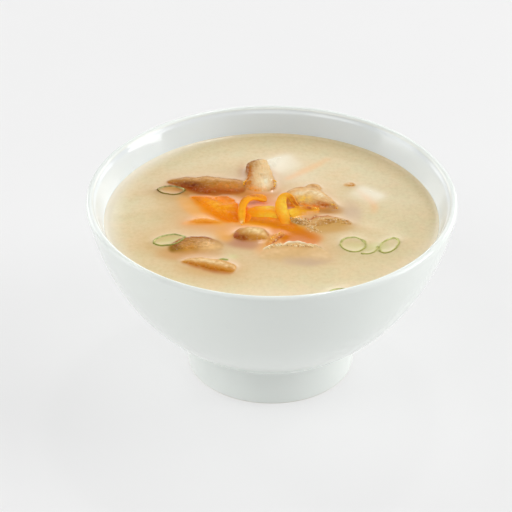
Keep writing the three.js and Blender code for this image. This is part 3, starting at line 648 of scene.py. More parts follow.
slices = [
    dict(name="mushroom_stem", slot="mushroom_pale", tone="wheat", under="brown",
         width=[11.8, 10.4, 8.2, 8.4], thick=[2.2, 3.4, 4.2, 4.4], roll=[0, -6, -10],
         cup=0.7, rounding=0.18,
         spine=[(-4.3, 17.0, -0.4), (-4.0, 22, 0.3), (-4.3, 28, 1.4), (-5.5, 34.2, 2.3)],
         patches=[("bran", 1.0, (0.45, -0.85), (0.9, 0.4)), ("umber", 1.0, (0.88, -1), (0.22, 0.4)),
                  ("oak", 0.7, (0.82, -0.3), (0.18, 0.4)), ("olive", 0.6, (0.9, -0.4), (0.12, 0.5)),
                  # the cream near the middle is a painted highlight
                  ("tangerine", 1.0, (0.0, -0.3), (0.12, 0.8)), ("cream", 0.8, (0.3, 0.35), (0.16, 0.3)),
                  ("umber", 0.9, (0.97, 0), (0.04, 1.2)), ("bran", 0.8, (0.14, 0.95), (0.22, 0.16)),
                  ("reed", 0.3, (0.5, 0.98), (0.4, 0.12))]),
    dict(name="mushroom_long", slot="mushroom_brown", tone="clay", under="umber", look="smooth", clear=1.2,
         width=[3.4, 9.0, 12.4, 11.4, 8.8], thick=[1.8, 2.8, 3.0, 2.4], roll=5, droop=1.2, ruffle=0.05,
         spine=[(-37.8, 24.0, -0.5), (-31.2, 22.3, -0.2), (-25, 20.6, -0.1), (-17, 20.1, -0.1),
                (-9.0, 19.8, -0.3)],
         patches=[("sienna", 1.0, (0.5, 0.7), (0.9, 0.5)), ("umber", 0.8, (0.3, 0.5), (0.22, 0.4)),
                  ("umber", 0.8, (0.72, 0.78), (0.4, 0.3)), ("plum", 0.9, (0.34, 0.1), (0.14, 0.26)),
                  ("russet", 0.5, (0.78, 0.4), (0.22, 0.45)), ("tangerine", 0.3, (0.8, 0), (0.16, 0.3)),
                  # the biscuit band along the back top is a painted highlight
                  ("tan", 0.7, (0.92, -0.4), (0.12, 0.4)), ("biscuit", 0.45, (0.5, -0.6), (0.45, 0.2)),
                  ("sienna", 0.6, (0.2, -0.98), (0.5, 0.08))]),
    dict(name="mushroom_right", slot="mushroom_ochre", tone="biscuit", under="brown",
         width=[5.0, 9.4, 10.4, 7.6, 3.4], thick=[2.4, 3.4, 3.4, 2.2], roll=[8, 14, 12, 4], droop=1.0,
         ruffle=0.04,
         spine=[(5.4, 8.6, 0.2), (8.4, 11.2, 1.0), (12.6, 11.6, 1.2), (17.5, 9.2, 0.8), (23.0, 6.0, 0.4)],
         patches=[("wheat", 0.8, (0.55, -0.35), (0.2, 0.35)), ("sun", 0.8, (0.05, 0.0), (0.1, 0.9)),
                  ("honey", 1.0, (0.28, 0.4), (0.26, 0.38)), ("tangerine", 1.0, (0.38, 0.95), (0.32, 0.25)),
                  ("copper", 1.0, (0.8, 0.5), (0.18, 0.3)), ("orange", 0.9, (0.72, 0.95), (0.3, 0.22)),
                  # the two creams are painted highlights
                  ("cream", 0.6, (0.3, -0.1), (0.12, 0.25)), ("cream", 0.6, (0.62, -0.45), (0.16, 0.2)),
                  ("oak", 0.6, (0.95, 0), (0.08, 1)), ("oak", 0.8, (0.3, -0.95), (0.35, 0.2))]),
    dict(name="mushroom_curl", slot="mushroom_pale", tone="biscuit", under="tan", width=1.5, thick=1.2,
         ragged=0.15, relief=0.08,
         spine=[(12.4, 18.8, 0), (13.8, 21.0, 0.3), (16.4, 21.0, 0.3), (17.6, 18.6, 0)],
         patches=[("oak", 1.0, (0.4, -0.8), (0.6, 0.4))]),
    dict(name="mushroom_frill", slot="mushroom_ochre", tone="reed", under="brown", look="crumbly",
         width=[3.4, 6.0, 7.4, 5.6, 2.6], thick=1.6, roll=5, droop=1.2, ruffle=0.16, ragged=1.1,
         spine=[(6.6, -2.4, -0.3), (11, -4.4, -0.1), (16, -4.0, 0), (21.5, -2.8, 0.1), (28.0, -4.6, -0.3)],
         patches=[("moss", 0.6, (0.12, -0.3), (0.1, 0.6)), ("biscuit", 1.0, (0.32, 0.2), (0.1, 0.5)),
                  ("biscuit", 0.9, (0.6, -0.4), (0.12, 0.3)), ("clay", 0.9, (0.6, 0.2), (0.1, 0.35)),
                  ("copper", 0.9, (0.4, -0.95), (0.6, 0.3)), ("clay", 0.7, (0.2, -0.3), (0.08, 0.5))]),
    dict(name="mushroom_button", slot="mushroom_ochre", tone="straw", under="brown", look="smooth",
         width=[6.4, 8.0, 8.6, 8.2, 6.8], thick=[3.4, 4.0, 4.2, 4.0, 3.4], roll=10, droop=1.4, rounding=0.3,
         ragged=0.1,
         spine=[(-13.2, -13.6, -0.5), (-10.2, -13.0, 0), (-7.2, -12.8, 0.1), (-4.2, -13.0, 0),
                (-1.2, -13.8, -0.4)],
         # the umber low on the front left is dark skin and painted shade
         patches=[("sienna", 1.0, (0.04, 0.1), (0.2, 1.2)), ("umber", 1.0, (0.22, 0.5), (0.2, 0.5)),
                  # the flesh on the crown is a painted highlight
                  ("flesh", 1.0, (0.62, -0.3), (0.3, 0.4)), ("bran", 0.7, (0.66, 0.65), (0.36, 0.26)),
                  ("sienna", 1.0, (0.45, -0.98), (0.6, 0.12)), ("brown", 1.0, (0.95, -0.8), (0.14, 0.5))]),
    dict(name="mushroom_left", slot="mushroom_ochre", tone="clay", under="skin", clear=0.85,
         width=[6.0, 11.0, 11.0, 6.0], thick=1.8, roll=2, droop=2.4, perk=0.4, ruffle=0.06, rounding=0.14,
         spine=[(-35.4, -21.8, -0.8), (-29.4, -19.4, -0.4), (-24.0, -18.6, -0.5), (-16.6, -19.6, -1.2)],
         patches=[("moss", 0.9, (0.06, 0), (0.16, 1)), ("biscuit", 1.0, (0.8, 0.1), (0.26, 0.9)),
                  ("straw", 0.7, (0.36, 0.1), (0.14, 0.4)), ("umber", 0.8, (0.5, -0.95), (0.36, 0.13)),
                  ("umber", 0.5, (0.16, -0.5), (0.06, 0.3))]),
    dict(name="mushroom_front", slot="mushroom_ochre", tone="straw", under="bran", look="smooth", clear=1.2,
         width=[3.0, 6.6, 8.4, 6.8], thick=2.0, roll=8, droop=2.0, rounding=0.1, ragged=0.2,
         spine=[(-31.0, -28.8, -0.5), (-25, -30.3, 0), (-19, -32.4, 0), (-12.6, -34.6, -0.3)],
         patches=[("bran", 0.9, (0.5, 0.4), (0.9, 0.4)), ("sienna", 1.0, (0.6, 0.8), (0.6, 0.34)),
                  ("wheat", 1.0, (0.5, -0.45), (0.55, 0.28)), ("reed", 0.8, (0.3, -1), (0.7, 0.16))]),
    dict(name="mushroom_pale", slot="mushroom_pale", tone="husk", under="tan", look="smooth",
         width=[6.0, 10.6, 12.4, 10.8, 5.4], thick=1.2, roll=0, droop=1.8, perk=1.2, ruffle=0.1,
         rounding=0.2, ragged=1.3,
         spine=[(-4.0, -25.6, -1.3), (1.6, -23.4, -0.9), (8, -22.5, -0.85), (14, -23.8, -1.0),
                (20.6, -27.0, -1.5)],
         patches=[("reed", 0.4, (0.25, -0.75), (0.35, 0.3)), ("wheat", 0.7, (0.8, -0.2), (0.2, 0.9)),
                  # the cream along the back edge is a painted highlight
                  ("wheat", 0.8, (0.2, -0.3), (0.25, 0.5)), ("cream", 1.0, (0.35, -1.0), (0.4, 0.12))]),
    dict(name="mushroom_bit", slot="mushroom_ochre", tone="straw", under="tan", width=[2.0, 3.0, 1.8],
         thick=1.6, droop=0.6, rounding=0.25, ragged=0.15,
         spine=[(26.2, 22.2, -0.5), (28.3, 22.4, -0.3), (30.4, 21.8, -0.6)],
         patches=[("cream", 0.4, (0.3, -0.2), (0.3, 0.5))]),
]

tofuBlocks = [
    dict(name="tofu_back", at=(4.0, 37.6, -4.8), size=(11.5, 10.5, 9), heading=32, tilt=(7, 5)),
    dict(name="tofu_right", clear=1.3, at=(34.6, 16.0, -4.7), size=(11.5, 8.4, 8), heading=-38,
         tilt=(14, 0)),
]

# Rings of scallion have radii, how far their ends are drawn to a point, and thicker knots by angle.
rings = [
    dict(name="scallion_left_back", tone="moss", at=(-36.0, 17.9), radii=(4.8, 2.8), heading=-4, wall=0.6,
         point=1.3, knots=[(180, 0.4), (70, 0.2), (10, 0.5)]),
    dict(name="scallion_left_front", at=(-35.7, -15.3), radii=(5.6, 3.3), heading=22, wall=0.6, point=1.15,
         knots=[(350, 0.5), (320, 0.8), (180, 0.3)]),
    dict(name="scallion_right", tone="fern", at=(28.0, -17.8), radii=(4.3, 4.6),
         knots=[(28, 0.9), (150, 0.3)]),
    dict(name="scallion_right_arc", tone="fern", at=(32.2, -19.2), radii=(4.3, 4.5), start=-112, sweep=118,
         lift=-0.2, knots=[(-105, 0.6), (0, 1.0)]),
    dict(name="scallion_far_right", tone="fern", at=(40.6, -18.5), radii=(5.1, 2.7), heading=62,
         knots=[(345, 0.7), (150, 0.9), (20, 0.5)]),
    dict(name="scallion_front", at=(22.8, -48.9), radii=(4.2, 3.4), heading=22),
]

chips = [
    dict(name="scallion_bit", width=[1.0, 1.5, 1.0], thick=0.9,
         spine=[(-18.2, -27.8, 0), (-16.6, -27.6, 0.2), (-15, -27.7, 0)]),
]

# These lie wholly under the surface, and only tint the soup above it.
sunken = [
    dict(name="carrot deep", tone="ember", clear=4.5, width=[7, 10, 12.4, 10, 4], thick=1,
         spine=[(2, -5, -0.6), (6, -9.8, -0.1), (9.5, -13.6, -0.1), (13.5, -13.4, -0.5),
                (17.5, -12.5, -2.5)],
         patches=[("copper", 0.4, (0.6, 0), (0.3, 2))]),
    dict(name="carrot bed", tone="marigold", clear=2.0, width=[5, 11, 11, 12, 9, 4], thick=0.8,
         spine=[(-19, 6, -0.3), (-13, 2, -0.2), (-6, 0, -0.2), (1, -1.5, -0.2), (8, -4, -0.4),
                (12, -7, -1)]),
    dict(name="blade fill", tone="orange", clear=1.8, width=[3, 5, 4],
         spine=[(-28, 12.6, -0.9), (-22.5, 12.0, -0.3), (-17, 10.6, -0.5)]),
    dict(name="carrot haze", tone="peach", clear=0.9, width=[4, 5, 3],
         spine=[(2, -14, -0.7), (-2, -19, -0.9), (-5, -24, -1.3)]),
    dict(name="blade haze", tone="amber", clear=1.2, width=[4, 9, 9, 6],
         spine=[(-33, 13, -1.4), (-27, 7, -0.8), (-21, 0, -0.7), (-15, -4, -0.8)]),
    dict(name="cap haze", tone="tan", clear=1.2, width=[5, 8, 9, 6],
         spine=[(-40, -24, -1.8), (-33, -24, -1.0), (-25, -23, -1.2), (-17, -24, -2)]),
    dict(name="long haze", tone="oak", clear=1.1, width=[4, 6, 5, 5, 5],
         spine=[(-39, 21, -1.2), (-32, 18.4, -0.4), (-24, 15.4, -0.5), (-14, 15.0, -0.7),
                (-7, 15.6, -0.8)]),
    dict(name="button haze", tone="amber", clear=1.1, width=[4, 6, 4],
         spine=[(-20, -10, -1.6), (-16, -12.5, -0.6), (-11, -17, -1.4)]),
    dict(name="button shade", tone="rose", clear=1.3, width=[5, 6, 6, 4],
         spine=[(-17, -14, -1.6), (-12.5, -16.5, -0.6), (-6, -18, -0.8), (-2, -18, -1.8)]),
    dict(name="cap shadow", tone="oak", clear=1.3, width=[3, 5, 5.5, 3],
         spine=[(10, 5.5, -0.8), (15, 5.6, -0.2), (21, 5, -0.3), (26, 4.6, -1.6)]),
    dict(name="gill haze", tone="reed", clear=1.3, width=[5, 9, 8, 5],
         spine=[(12, -5, -1.2), (18, -6, -0.6), (24, -5, -0.7), (30, -4.5, -2)]),
    dict(name="back strip", tone="peach", clear=1.5, width=[2, 3.4, 2.4],
         spine=[(5, 25.8, -1.2), (13, 33, -1.2), (21.7, 41.5, -1.7)]),
    dict(name="right strip", tone="peach", clear=1.4, width=[1.6, 2.6, 1.6],
         spine=[(31, 20, -1.0), (36.5, 8, -1.0), (36, 2.7, -1.6)]),
    dict(name="right shade", tone="lilac", clear=1.0, width=[4, 7, 4],
         spine=[(28, 12, -1.6), (28.5, 4, -0.6), (29, -5, -1.6)]),
    dict(name="front shade", tone="lilac", clear=1.0, width=[5, 6, 3],
         spine=[(4, -27, -0.9), (14, -28, -0.5), (21, -27, -1.2)]),
    dict(name="leaf shade", tone="mint", clear=0.9, width=[1.5, 2.4, 1.5], thick=0.5,
         spine=[(-15.5, -25.2, -0.9), (-13.2, -25.4, -0.6), (-11.5, -25.2, -0.9)]),
    dict(name="left ring film", tone="mint", clear=1.0, width=[3, 5, 3], thick=0.4,
         spine=[(-40, -17, -0.9), (-36, -15.4, -0.7), (-31.5, -13.6, -0.9)]),
    dict(name="back ring film", tone="reed", clear=1.8, width=[2, 4, 2], thick=0.4,
         spine=[(-39.5, 18.1, -0.9), (-36, 17.9, -0.5), (-32.5, 17.7, -0.9)]),
    dict(name="right ring film", tone="mint", clear=1.0, width=[5, 5, 5], thick=0.4,
         spine=[(25, -17.8, -1.2), (32, -19.5, -0.9), (40.4, -18.5, -0.8)]),
]


def wetFlesh(name, streak, depth, relief, specksAndGlints=0, wet=0.9, shine=0.22, soft=0, softReach=(1, 0.4, 0.15)):
    shade = Shade(name)
    lay = shade.attribute("lay", 1)  # along, across and up through the piece, in millimetres
    tone = shade.attribute("tone")
    strands = shade.grain(lay, 1, 4, 0.6, streak)
    cloud = shade.grain(lay, 2.4, 2, 0.5)
    beads = shade.grain(lay, 0.8, 2, 0.5)
    # shadow, a darker copy of the tone, goes into the bump's grooves as painted shade, into random blotches,
    # and into dark pores in its pits
    shadow = shade.mix(0.85, tone, tone, "MULTIPLY")
    colour = shade.mix(shade.span(strands, 0.55, 0.3, (0, depth)), tone, shadow)
    colour = shade.mix(shade.span(cloud, 0.5, 0.75, (0, depth * 0.6)), colour, shadow)
    colour = shade.mix(shade.span(beads, 0.44, 0.3, (0, specksAndGlints)), colour, shadow)
    # cream on the crests of the beads: painted glints
    colour = shade.mix(shade.span(beads, 0.58, 0.7, (0, specksAndGlints)), colour, palette["cream"])
    film = shade.span(beads, 0.52, 0.64) * shade.span(cloud, 0.42, 0.58, (0.15, 1))
    return shade.finish({
        "Base Color": colour,
        "Roughness": shade.span(cloud, 0.3, 0.7, (0.2, 0.4)),
        "Normal": shade.bump(strands + 0.8 * cloud + 0.8 * beads, relief),
        "Subsurface Weight": soft, "Subsurface Radius": softReach, "Subsurface Scale": mm,
        "Coat Weight": film * wet, "Coat Roughness": 0.07, "Coat IOR": 1.5,
        "IOR": 1.36, "Specular IOR Level": shine,
    })


# Specs, their form, the end of each piece's name, the first seed, and what the specs share. What has no
# such end isn't built, and only tints the soup.
garnishKinds = [
    (shreds, strip, "_shred", 2,
     dict(slot="carrot", look="carrot", relief=0.1, grain=2.4, fibre=0.05, ragged=0.16, mottle=0.05)),
    (slices, strip, "_slice", 20, dict(look="rough", relief=0.16, grain=3.0, ragged=0.4, mottle=0.08)),
    (tofuBlocks, block, "_cube", 40, dict(slot="tofu", look="tofu", tone="tofu", clear=1.0, mottle=0.02)),
    (rings, ringWall, "_ring", 50,
     dict(slot="scallion", look="leaf", tone="leaf", mottle=0.32,
          patches=[("green", 0.45, (0.5, 1), (9, 0.6)), ("mint", 0.8, (0.5, -1), (9, 0.7))])),
    (chips, strip, "_chip", 31, dict(slot="scallion", look="leaf", tone="leaf")),
    (sunken, strip, None, 60, dict(thick=0.6, relief=0.15, grain=2.5)),
]
garnish = []  # every form with its tones, for the soup to be painted from


def makeGarnish():
    looks = dict(
        carrot=wetFlesh("carrot flesh", (0.12, 1.6, 1.2), depth=0.3, relief=0.09, specksAndGlints=0.06, wet=0.35,
                        shine=0.08),
        rough=wetFlesh("mushroom flesh", (0.35, 1.3, 1.0), depth=0.5, relief=0.2, specksAndGlints=0.15, wet=0.8),
        crumbly=wetFlesh("mushroom gills", (0.5, 1.3, 1.0), depth=0.6, relief=0.26, specksAndGlints=0.5),
        smooth=wetFlesh("mushroom skin", (0.3, 1.0, 1.0), depth=0.3, relief=0.1, specksAndGlints=0.1, wet=0.5),
        tofu=wetFlesh("bean curd", (0.8, 0.8, 0.8), depth=0.1, relief=0.05, soft=0.3,
                      softReach=(1.2, 1.0, 0.7)),
        leaf=wetFlesh("scallion", (0.4, 2.0, 0.5), depth=0.3, relief=0.05),
    )
    for specs, form, ending, firstSeed, shared in garnishKinds:
        for number, spec in enumerate(specs):
            spec = dict(clear=0.8, seed=firstSeed + number) | shared | spec
            points, faces, place, across, high, lay = form(**spec)
            tones = toned(spec, points, place, across, high)
            name = spec["name"]
            garnish.append(dict(name=name, kind=name.split("_")[0], built=bool(ending), clear=spec["clear"],
                                points=points, faces=faces, tones=tones))
            if ending:
                look, layers = looks[spec["look"]], dict(tone=tones, lay=lay)
                buildPiece(name + ending, points, faces, look, [name], layers)
    print("garnish:", len(garnish), "forms,", sum(len(form["points"]) for form in garnish), "points")


soupForm = dict(
    canvasStep=0.4, canvasReach=60.0,  # the flat grid on which the tints are worked out
    cells=296, overlap=0.15,           # cells across the surface's mesh, and how far it runs into the wall
    swell=0.06, swellSize=14,          # the slow waves of the surface
    skirt=(1, 0.4, 7),                 # rows under it: depth of the first, height of the last, how many
    climb=0.55, climbTop=0.8, climbReach=1.6, climbRounds=240, climbBlur=0.35,  # how it climbs up a piece
    wet=0.02, tall=0.9,                # heights of what holds it up, and of what it has a line of painted crease shade along
    loose=("carrot_loop", "carrot_arch"),  # pieces that stand clear of the soup
    hazy="tofu", hazyBlur=1.1,         # the kind whose edges are lost in the soup
    sunkBlur=0.9, edgeBlur=0.3,        # for what is wholly under the soup, and for all that shows through
    halo=dict(carrot=1.0, mushroom=0.5, tofu=0.2, scallion=0.15),
    haloTop=0.85, haloGain=3.0, haloReach=(2.0, 5.0),
    wide=0.5, wideGain=6.0, wideReach=9.0,  # the far, faint stain round it all
    film=0.55, openFilm=0.65, filmReach=2.0,  # how strongly the painted highlight shows where the soup climbs thin, and in the open
    creaseShade=1.6, creaseShadeBlur=0.45,     # the painted shade in the crease where it meets a piece
    stainsAndShade=[                           # broad soft tints: colour, amount, place, reach; the oak one beside the stem is the stem's painted shadow
        ("oak", 0.85, (-33, 18), (9, 4)), ("reed", 0.5, (-30, 9), (13, 12)),
        ("ember", 0.9, (-7, 15.5), (8, 4.5)), ("orange", 0.9, (-3, 6.6), (5, 3)),
        ("reed", 0.65, (-36, -16), (11, 10)), ("straw", 0.55, (-21, -32), (10, 5.5)),
        ("tangerine", 0.6, (-13, -9), (9, 3.6)), ("tangerine", 0.85, (7, -14.5), (8, 6)),
        ("straw", 0.75, (15, 2.5), (7, 4.5)), ("reed", 0.25, (28, -18), (14, 9)),
        # beside the stem's left edge, the first: the stem's painted shadow
        ("oak", 0.5, (-10.5, 32), (1.8, 6)), ("thin", 0.25, (7, 29), (8, 6)),
    ],
    # by compass angle from the right, every 45 degrees: strength and reach of the pale rim, thin soup over
    # the glaze and partly painted light, and of the painted shadow under the far wall
    rim=[(0.4, 2.0), (0.1, 2.0), (0.2, 1.5), (0.75, 6.5), (0.9, 8.5), (0.5, 6.0), (0.6, 22), (0.45, 12)],
    farWallShadow=[(0.1, 5), (0.35, 6), (0.4, 9), (0.15, 6), (0, 5), (0, 5), (0, 5), (0, 5)],
)


def blur(sheet, reach):  # a Gaussian blur of a sheet, reach in millimetres
    wave = np.fft.fftfreq(sheet.shape[0], soupForm["canvasStep"])
    fall = np.exp(-2 * (np.pi * reach * wave) ** 2)
    kernel = fall[:, None] * fall[None, :]
    spread = np.fft.fft2(sheet, axes=(0, 1)) * (kernel if sheet.ndim == 2 else kernel[..., None])
    return np.fft.ifft2(spread, axes=(0, 1)).real


def fade(sheet, weight, reach):  # a blurred sheet, and the blurred amount that carries it
    amount = blur(weight, reach)
    return blur(sheet * weight[..., None], reach) / np.maximum(amount, 1e-3)[..., None], amount


def laid(colour, amount, under, underAmount):  # a tint laid over another, and how much the two cover
    rest = underAmount * (1 - amount)
    total = amount + rest
    mixed = colour * amount[..., None] + under * rest[..., None]
    return mixed / np.maximum(total, 1e-4)[..., None], total


def over(sheet, colour, amount):  # one more tint laid over a sheet of tints
    return np.dstack(laid(np.array(colour), amount, sheet[..., :3], sheet[..., 3]))


def beside(sheet):  # the four neighbours of every cell
    return [np.roll(sheet, shift, axis) for axis in (0, 1) for shift in (1, -1)]


def climbing(seated):  # how high the soup hangs between the pieces that hold it up
    near = beside(seated)
    crest = np.maximum.reduce([seated] + near + [np.maximum.reduce(beside(sheet)) for sheet in near])
    top, held = np.clip(crest * soupForm["climb"], 0, soupForm["climbTop"]), seated > soupForm["wet"]
    pull = 1 + (soupForm["canvasStep"] / soupForm["climbReach"]) ** 2 / 4
    surface = np.where(held, top, 0)
    for _ in range(soupForm["climbRounds"]):
        surface = np.where(held, top, sum(beside(surface)) / 4 / pull)
    return blur(surface, soupForm["climbBlur"])


def lookDown(forms, axis):  # what a look straight down meets first: height, colour, form
    shifts = np.concatenate([[0], np.cumsum([len(f["points"]) for f in forms])])[:-1].tolist()
    tree = BVHTree.FromPolygons(
        np.vstack([f["points"] for f in forms]).tolist(),
        [tuple(i + shift for i in face) for f, shift in zip(forms, shifts) for face in f["faces"]])
    tones = np.vstack([[f["tones"][face[0]] for face in f["faces"]] for f in forms])
    owner = np.concatenate([[i] * len(f["faces"]) for i, f in enumerate(forms)])
    height = np.full((len(axis), len(axis)), -99.0)
    colour = np.zeros((len(axis), len(axis), 3))
    whose = np.full(height.shape, -1)
    down = Vector((0, 0, -1))
    reach = soupForm["canvasReach"]
    for i, x in enumerate(axis):
        for j, y in enumerate(axis):
            if x * x + y * y < reach * reach:
                hit, _, face, _ = tree.ray_cast(Vector((x, y, soupLevel + 12)), down)
                if hit:
                    height[i, j], colour[i, j], whose[i, j] = hit.z - soupLevel, tones[face], owner[face]
    return height, colour, whose


def perForm(forms, whose, read):  # a value of whichever form each cell shows, 0 where none
    return np.array([read(f) for f in forms] + [0.0])[whose]


def showing(forms, whose, depth):  # how strongly each cell's form shows through the soup over it
    clear = perForm(forms, whose, lambda f: f["clear"]) + (whose < 0)
    return np.exp(-np.maximum(depth, 0) / clear) * (whose >= 0)


def softened(forms, whose, colour, seen):  # the hazy pieces lose their edges in the soup
    hazy = perForm(forms, whose, lambda f: float(f["kind"] == soupForm["hazy"])) > 0
    return laid(colour, np.where(hazy, 0, seen), *fade(colour, seen * hazy, soupForm["hazyBlur"]))


def sunkTint(forms, axis, colour, seen):  # all that shows through the soup, the sunken forms lowest
    height, sunkColour, whose = lookDown(forms, axis)
    sunkColour, _ = fade(sunkColour, (whose >= 0) * 1.0, soupForm["sunkBlur"])
    sunkSeen = blur(showing(forms, whose, -height), soupForm["sunkBlur"])
    return fade(*laid(colour, seen, sunkColour, sunkSeen), soupForm["edgeBlur"])


def haloTint(forms, whose, seen):  # what the pieces give to the soup round them, near and far
    tint = np.array([palette[f["kind"] + "Halo"] for f in forms] + [(0, 0, 0)])[whose]
    pull = perForm(forms, whose, lambda f: soupForm["halo"][f["kind"]]) * seen
    (nearTone, near), (farTone, far) = (fade(tint, pull, reach) for reach in soupForm["haloReach"])
    gain = soupForm["haloGain"]
    amount = soupForm["haloTop"] * (1 - np.exp(-gain * near - gain * far))
    halo = (nearTone * near[..., None] + farTone * far[..., None]) / np.maximum(near + far, 1e-3)[..., None]
    wide = soupForm["wide"] * (1 - np.exp(-soupForm["wideGain"] * blur(pull, soupForm["wideReach"])))
    return np.dstack(laid(halo, amount, np.array(palette["wideHalo"]), wide))


def byCompass(pairs, angle):  # strength and reach at any compass angle
    stops = np.arange(len(pairs) + 1) * 360 / len(pairs)
    table = np.array(pairs + pairs[:1])
    return (np.interp(angle % 360, stops, table[:, i]) for i in (0, 1))


def rimTints(sheet, x, y):  # pale at the wall, where the soup is thin, partly painted light; painted shadow under the far wall
    gap = np.maximum(innerRadius(soupLevel) - np.hypot(x, y), 0)
    angle = np.degrees(np.arctan2(y, x))
    strength, reach = byCompass(soupForm["farWallShadow"], angle)
    # the far wall's painted shadow on the soup
    sheet = over(sheet, palette["farWallShadow"], strength * smooth(gap / 2) * np.clip(1 - gap / reach, 0, 1))
    strength, reach = byCompass(soupForm["rim"], angle)
    # the pale rim: thin soup over the white wall, and painted light
    return over(sheet, palette["thin"], strength * np.clip(1 - gap / reach, 0, 1) ** 1.6)


def paintSheets():  # the soup's height, what lies on top, and the soup's two tints with their painted light, on the flat canvas
    step, reach = soupForm["canvasStep"], soupForm["canvasReach"]
    axis = np.arange(-reach, reach + step / 2, step)
    x, y = np.meshgrid(axis, axis, indexing="ij")
    built, hidden = ([f for f in garnish if f["built"] == wanted] for wanted in (True, False))
    height, colour, whose = lookDown(built, axis)
    seated, _, _ = lookDown([f for f in built if f["name"] not in soupForm["loose"]], axis)
    rise = climbing(seated)
    colour, seen = softened(built, whose, colour, showing(built, whose, rise - height))
    tone, cover = sunkTint(hidden, axis, colour, seen)

    # the tints round the pieces, then the broad tints, the painted crease shade and the painted highlight of
    # the climbing soup
    tintsAndPaintedLight = haloTint(built, whose, seen)
    for name, share, (atX, atY), (reachX, reachY) in soupForm["stainsAndShade"]:
        share = share * np.exp(-((x - atX) / reachX) ** 2 - ((y - atY) / reachY) ** 2)
        tintsAndPaintedLight = over(tintsAndPaintedLight, palette[name], share)
    # a painted dark line of shade in the crease where the soup meets each tall piece
    tall = blur((seated > soupForm["tall"]) * 1.0, soupForm["creaseShadeBlur"])
    line = soupForm["creaseShade"] * tall * (1 - tall) * (height < rise)
    tintsAndPaintedLight = over(tintsAndPaintedLight, palette["oak"], np.clip(line, 0, 1))
    # the film: a painted highlight where the soup climbs thin, kept off the pieces and off what shows through
    free = np.clip(1.6 - 2 * blur((whose >= 0) * 1.0, soupForm["filmReach"]), 0, 1)
    thin = soupForm["film"] * smooth(rise / soupForm["climbTop"] * 1.6) * (height < rise)
    tintsAndPaintedLight = over(tintsAndPaintedLight, palette["film"], thin * free * soupForm["openFilm"] * (1 - cover))
    # the halo layer takes all these tints, the painted light with them, and the rim's painted light and
    # shadow
    sunk, halo = np.dstack([tone, np.clip(cover, 0, 1)]), rimTints(tintsAndPaintedLight, x, y)
    return axis, rise, np.maximum(height, rise), sunk, halo


def readSheet(sheet, axis, x, y):  # a sheet read between its grid's points
    i = np.clip((x - axis[0]) / soupForm["canvasStep"], 0, len(axis) - 1.001)
    j = np.clip((y - axis[0]) / soupForm["canvasStep"], 0, len(axis) - 1.001)
    a, b = i.astype(int), j.astype(int)
    u, v = i - a, j - b
    if sheet.ndim == 3:
        u, v = u[:, None], v[:, None]
    return lerp(lerp(sheet[a, b], sheet[a + 1, b], u), lerp(sheet[a, b + 1], sheet[a + 1, b + 1], u), v)


def roundGrid(cells):  # a square grid drawn out evenly to a disc of radius 1
    line = np.linspace(-1, 1, cells + 1)
    a, b = np.meshgrid(line, line, indexing="ij")
    wide = np.abs(a) > np.abs(b)
    radius = np.where(wide, a, b)
    share = np.where(wide, b / np.where(a == 0, 1, a), a / np.where(b == 0, 1, b))
    angle = np.where(wide, np.pi / 4 * share, np.pi / 2 - np.pi / 4 * share)
    return (radius * np.cos(angle)).ravel(), (radius * np.sin(angle)).ravel()


def soupLook():
    shade = Shade("miso soup")
    spot = shade.place()
    cloud = shade.grain(spot, 9, 4, 0.6)
    fine = shade.grain(spot, 1.6, 3, 0.65)
    base = shade.mix(shade.span(cloud, 0.35, 0.65), palette["soupCool"], palette["soupWarm"])
    base = shade.mix(0.5, base, palette["soup"])
    base = shade.mix(shade.span(fine, 0.42, 0.72, (0, 0.3)), base, palette["soupDark"])
    # halo: the tints round the pieces, with the painted crease shade, highlight, rim light and far-wall
    # shadow
    base = shade.mix(shade.attribute("halo", 3), base, shade.attribute("halo"))
    base = shade.mix(shade.attribute("sunk", 3), base, shade.attribute("sunk"))
    return shade.finish({
        "Base Color": base,
        "Roughness": shade.span(cloud, 0.3, 0.7, (0.1, 0.18)),
        "IOR": 1.34,
        "Normal": shade.bump(cloud + 0.2 * fine, 0.1),
    })


pale, warm, creamy = ("foam", "foam", "reed"), ("honey", "gold"), ("foam", "foam", "biscuit")
froth = [  # from, to, how far they stray, how many, radii, tones
    ((10.2, -1.8), (15.8, -9.0), 1.3, 110, (0.13, 0.3), pale),
    ((6.8, -1.0), (10.4, -1.6), 0.5, 26, (0.13, 0.3), pale),
    ((16.0, -2.0), (26.4, -3.0), 0.35, 40, (0.13, 0.3), pale),
    ((-1.2, -20.2), (1.6, -18.0), 0.5, 20, (0.2, 0.42), creamy),
    ((1.6, -18.0), (14.6, -18.8), 0.6, 54, (0.2, 0.45), creamy),
    ((-0.5, -15.6), (3.5, -10.6), 0.6, 9, (0.2, 0.35), warm),
    ((1.0, 19.0), (1.6, 24.0), 0.3, 6, (0.3, 0.5), warm),
    ((-10.5, 20.0), (-9.0, 23.0), 0.5, 7, (0.3, 0.5), warm),
    ((15.4, 3.4), (17.0, 4.0), 0.3, 4, (0.25, 0.4), warm),
    ((21.0, 6.2), (23.4, 5.6), 0.4, 5, (0.25, 0.4), warm),
    ((-10.4, -5.2), (-9.8, -3.8), 0.3, 3, (0.25, 0.4), warm),
]


def bead(rings=4, spokes=7):  # a small ball's points and faces
    up, turn = np.linspace(0, np.pi, rings + 1)[1:-1], 2 * np.pi * np.arange(spokes) / spokes
    ball = [(np.sin(a) * np.cos(b), np.sin(a) * np.sin(b), np.cos(a)) for a in up for b in turn]
    hub = len(ball)
    skin = quadSkin(rings - 1, spokes)
    skin += [(hub, k, (k + 1) % spokes) for k in range(spokes)]
    skin += [(hub + 1, hub - spokes + (k + 1) % spokes, hub - spokes + k) for k in range(spokes)]
    return ball + [(0, 0, 1), (0, 0, -1)], skin


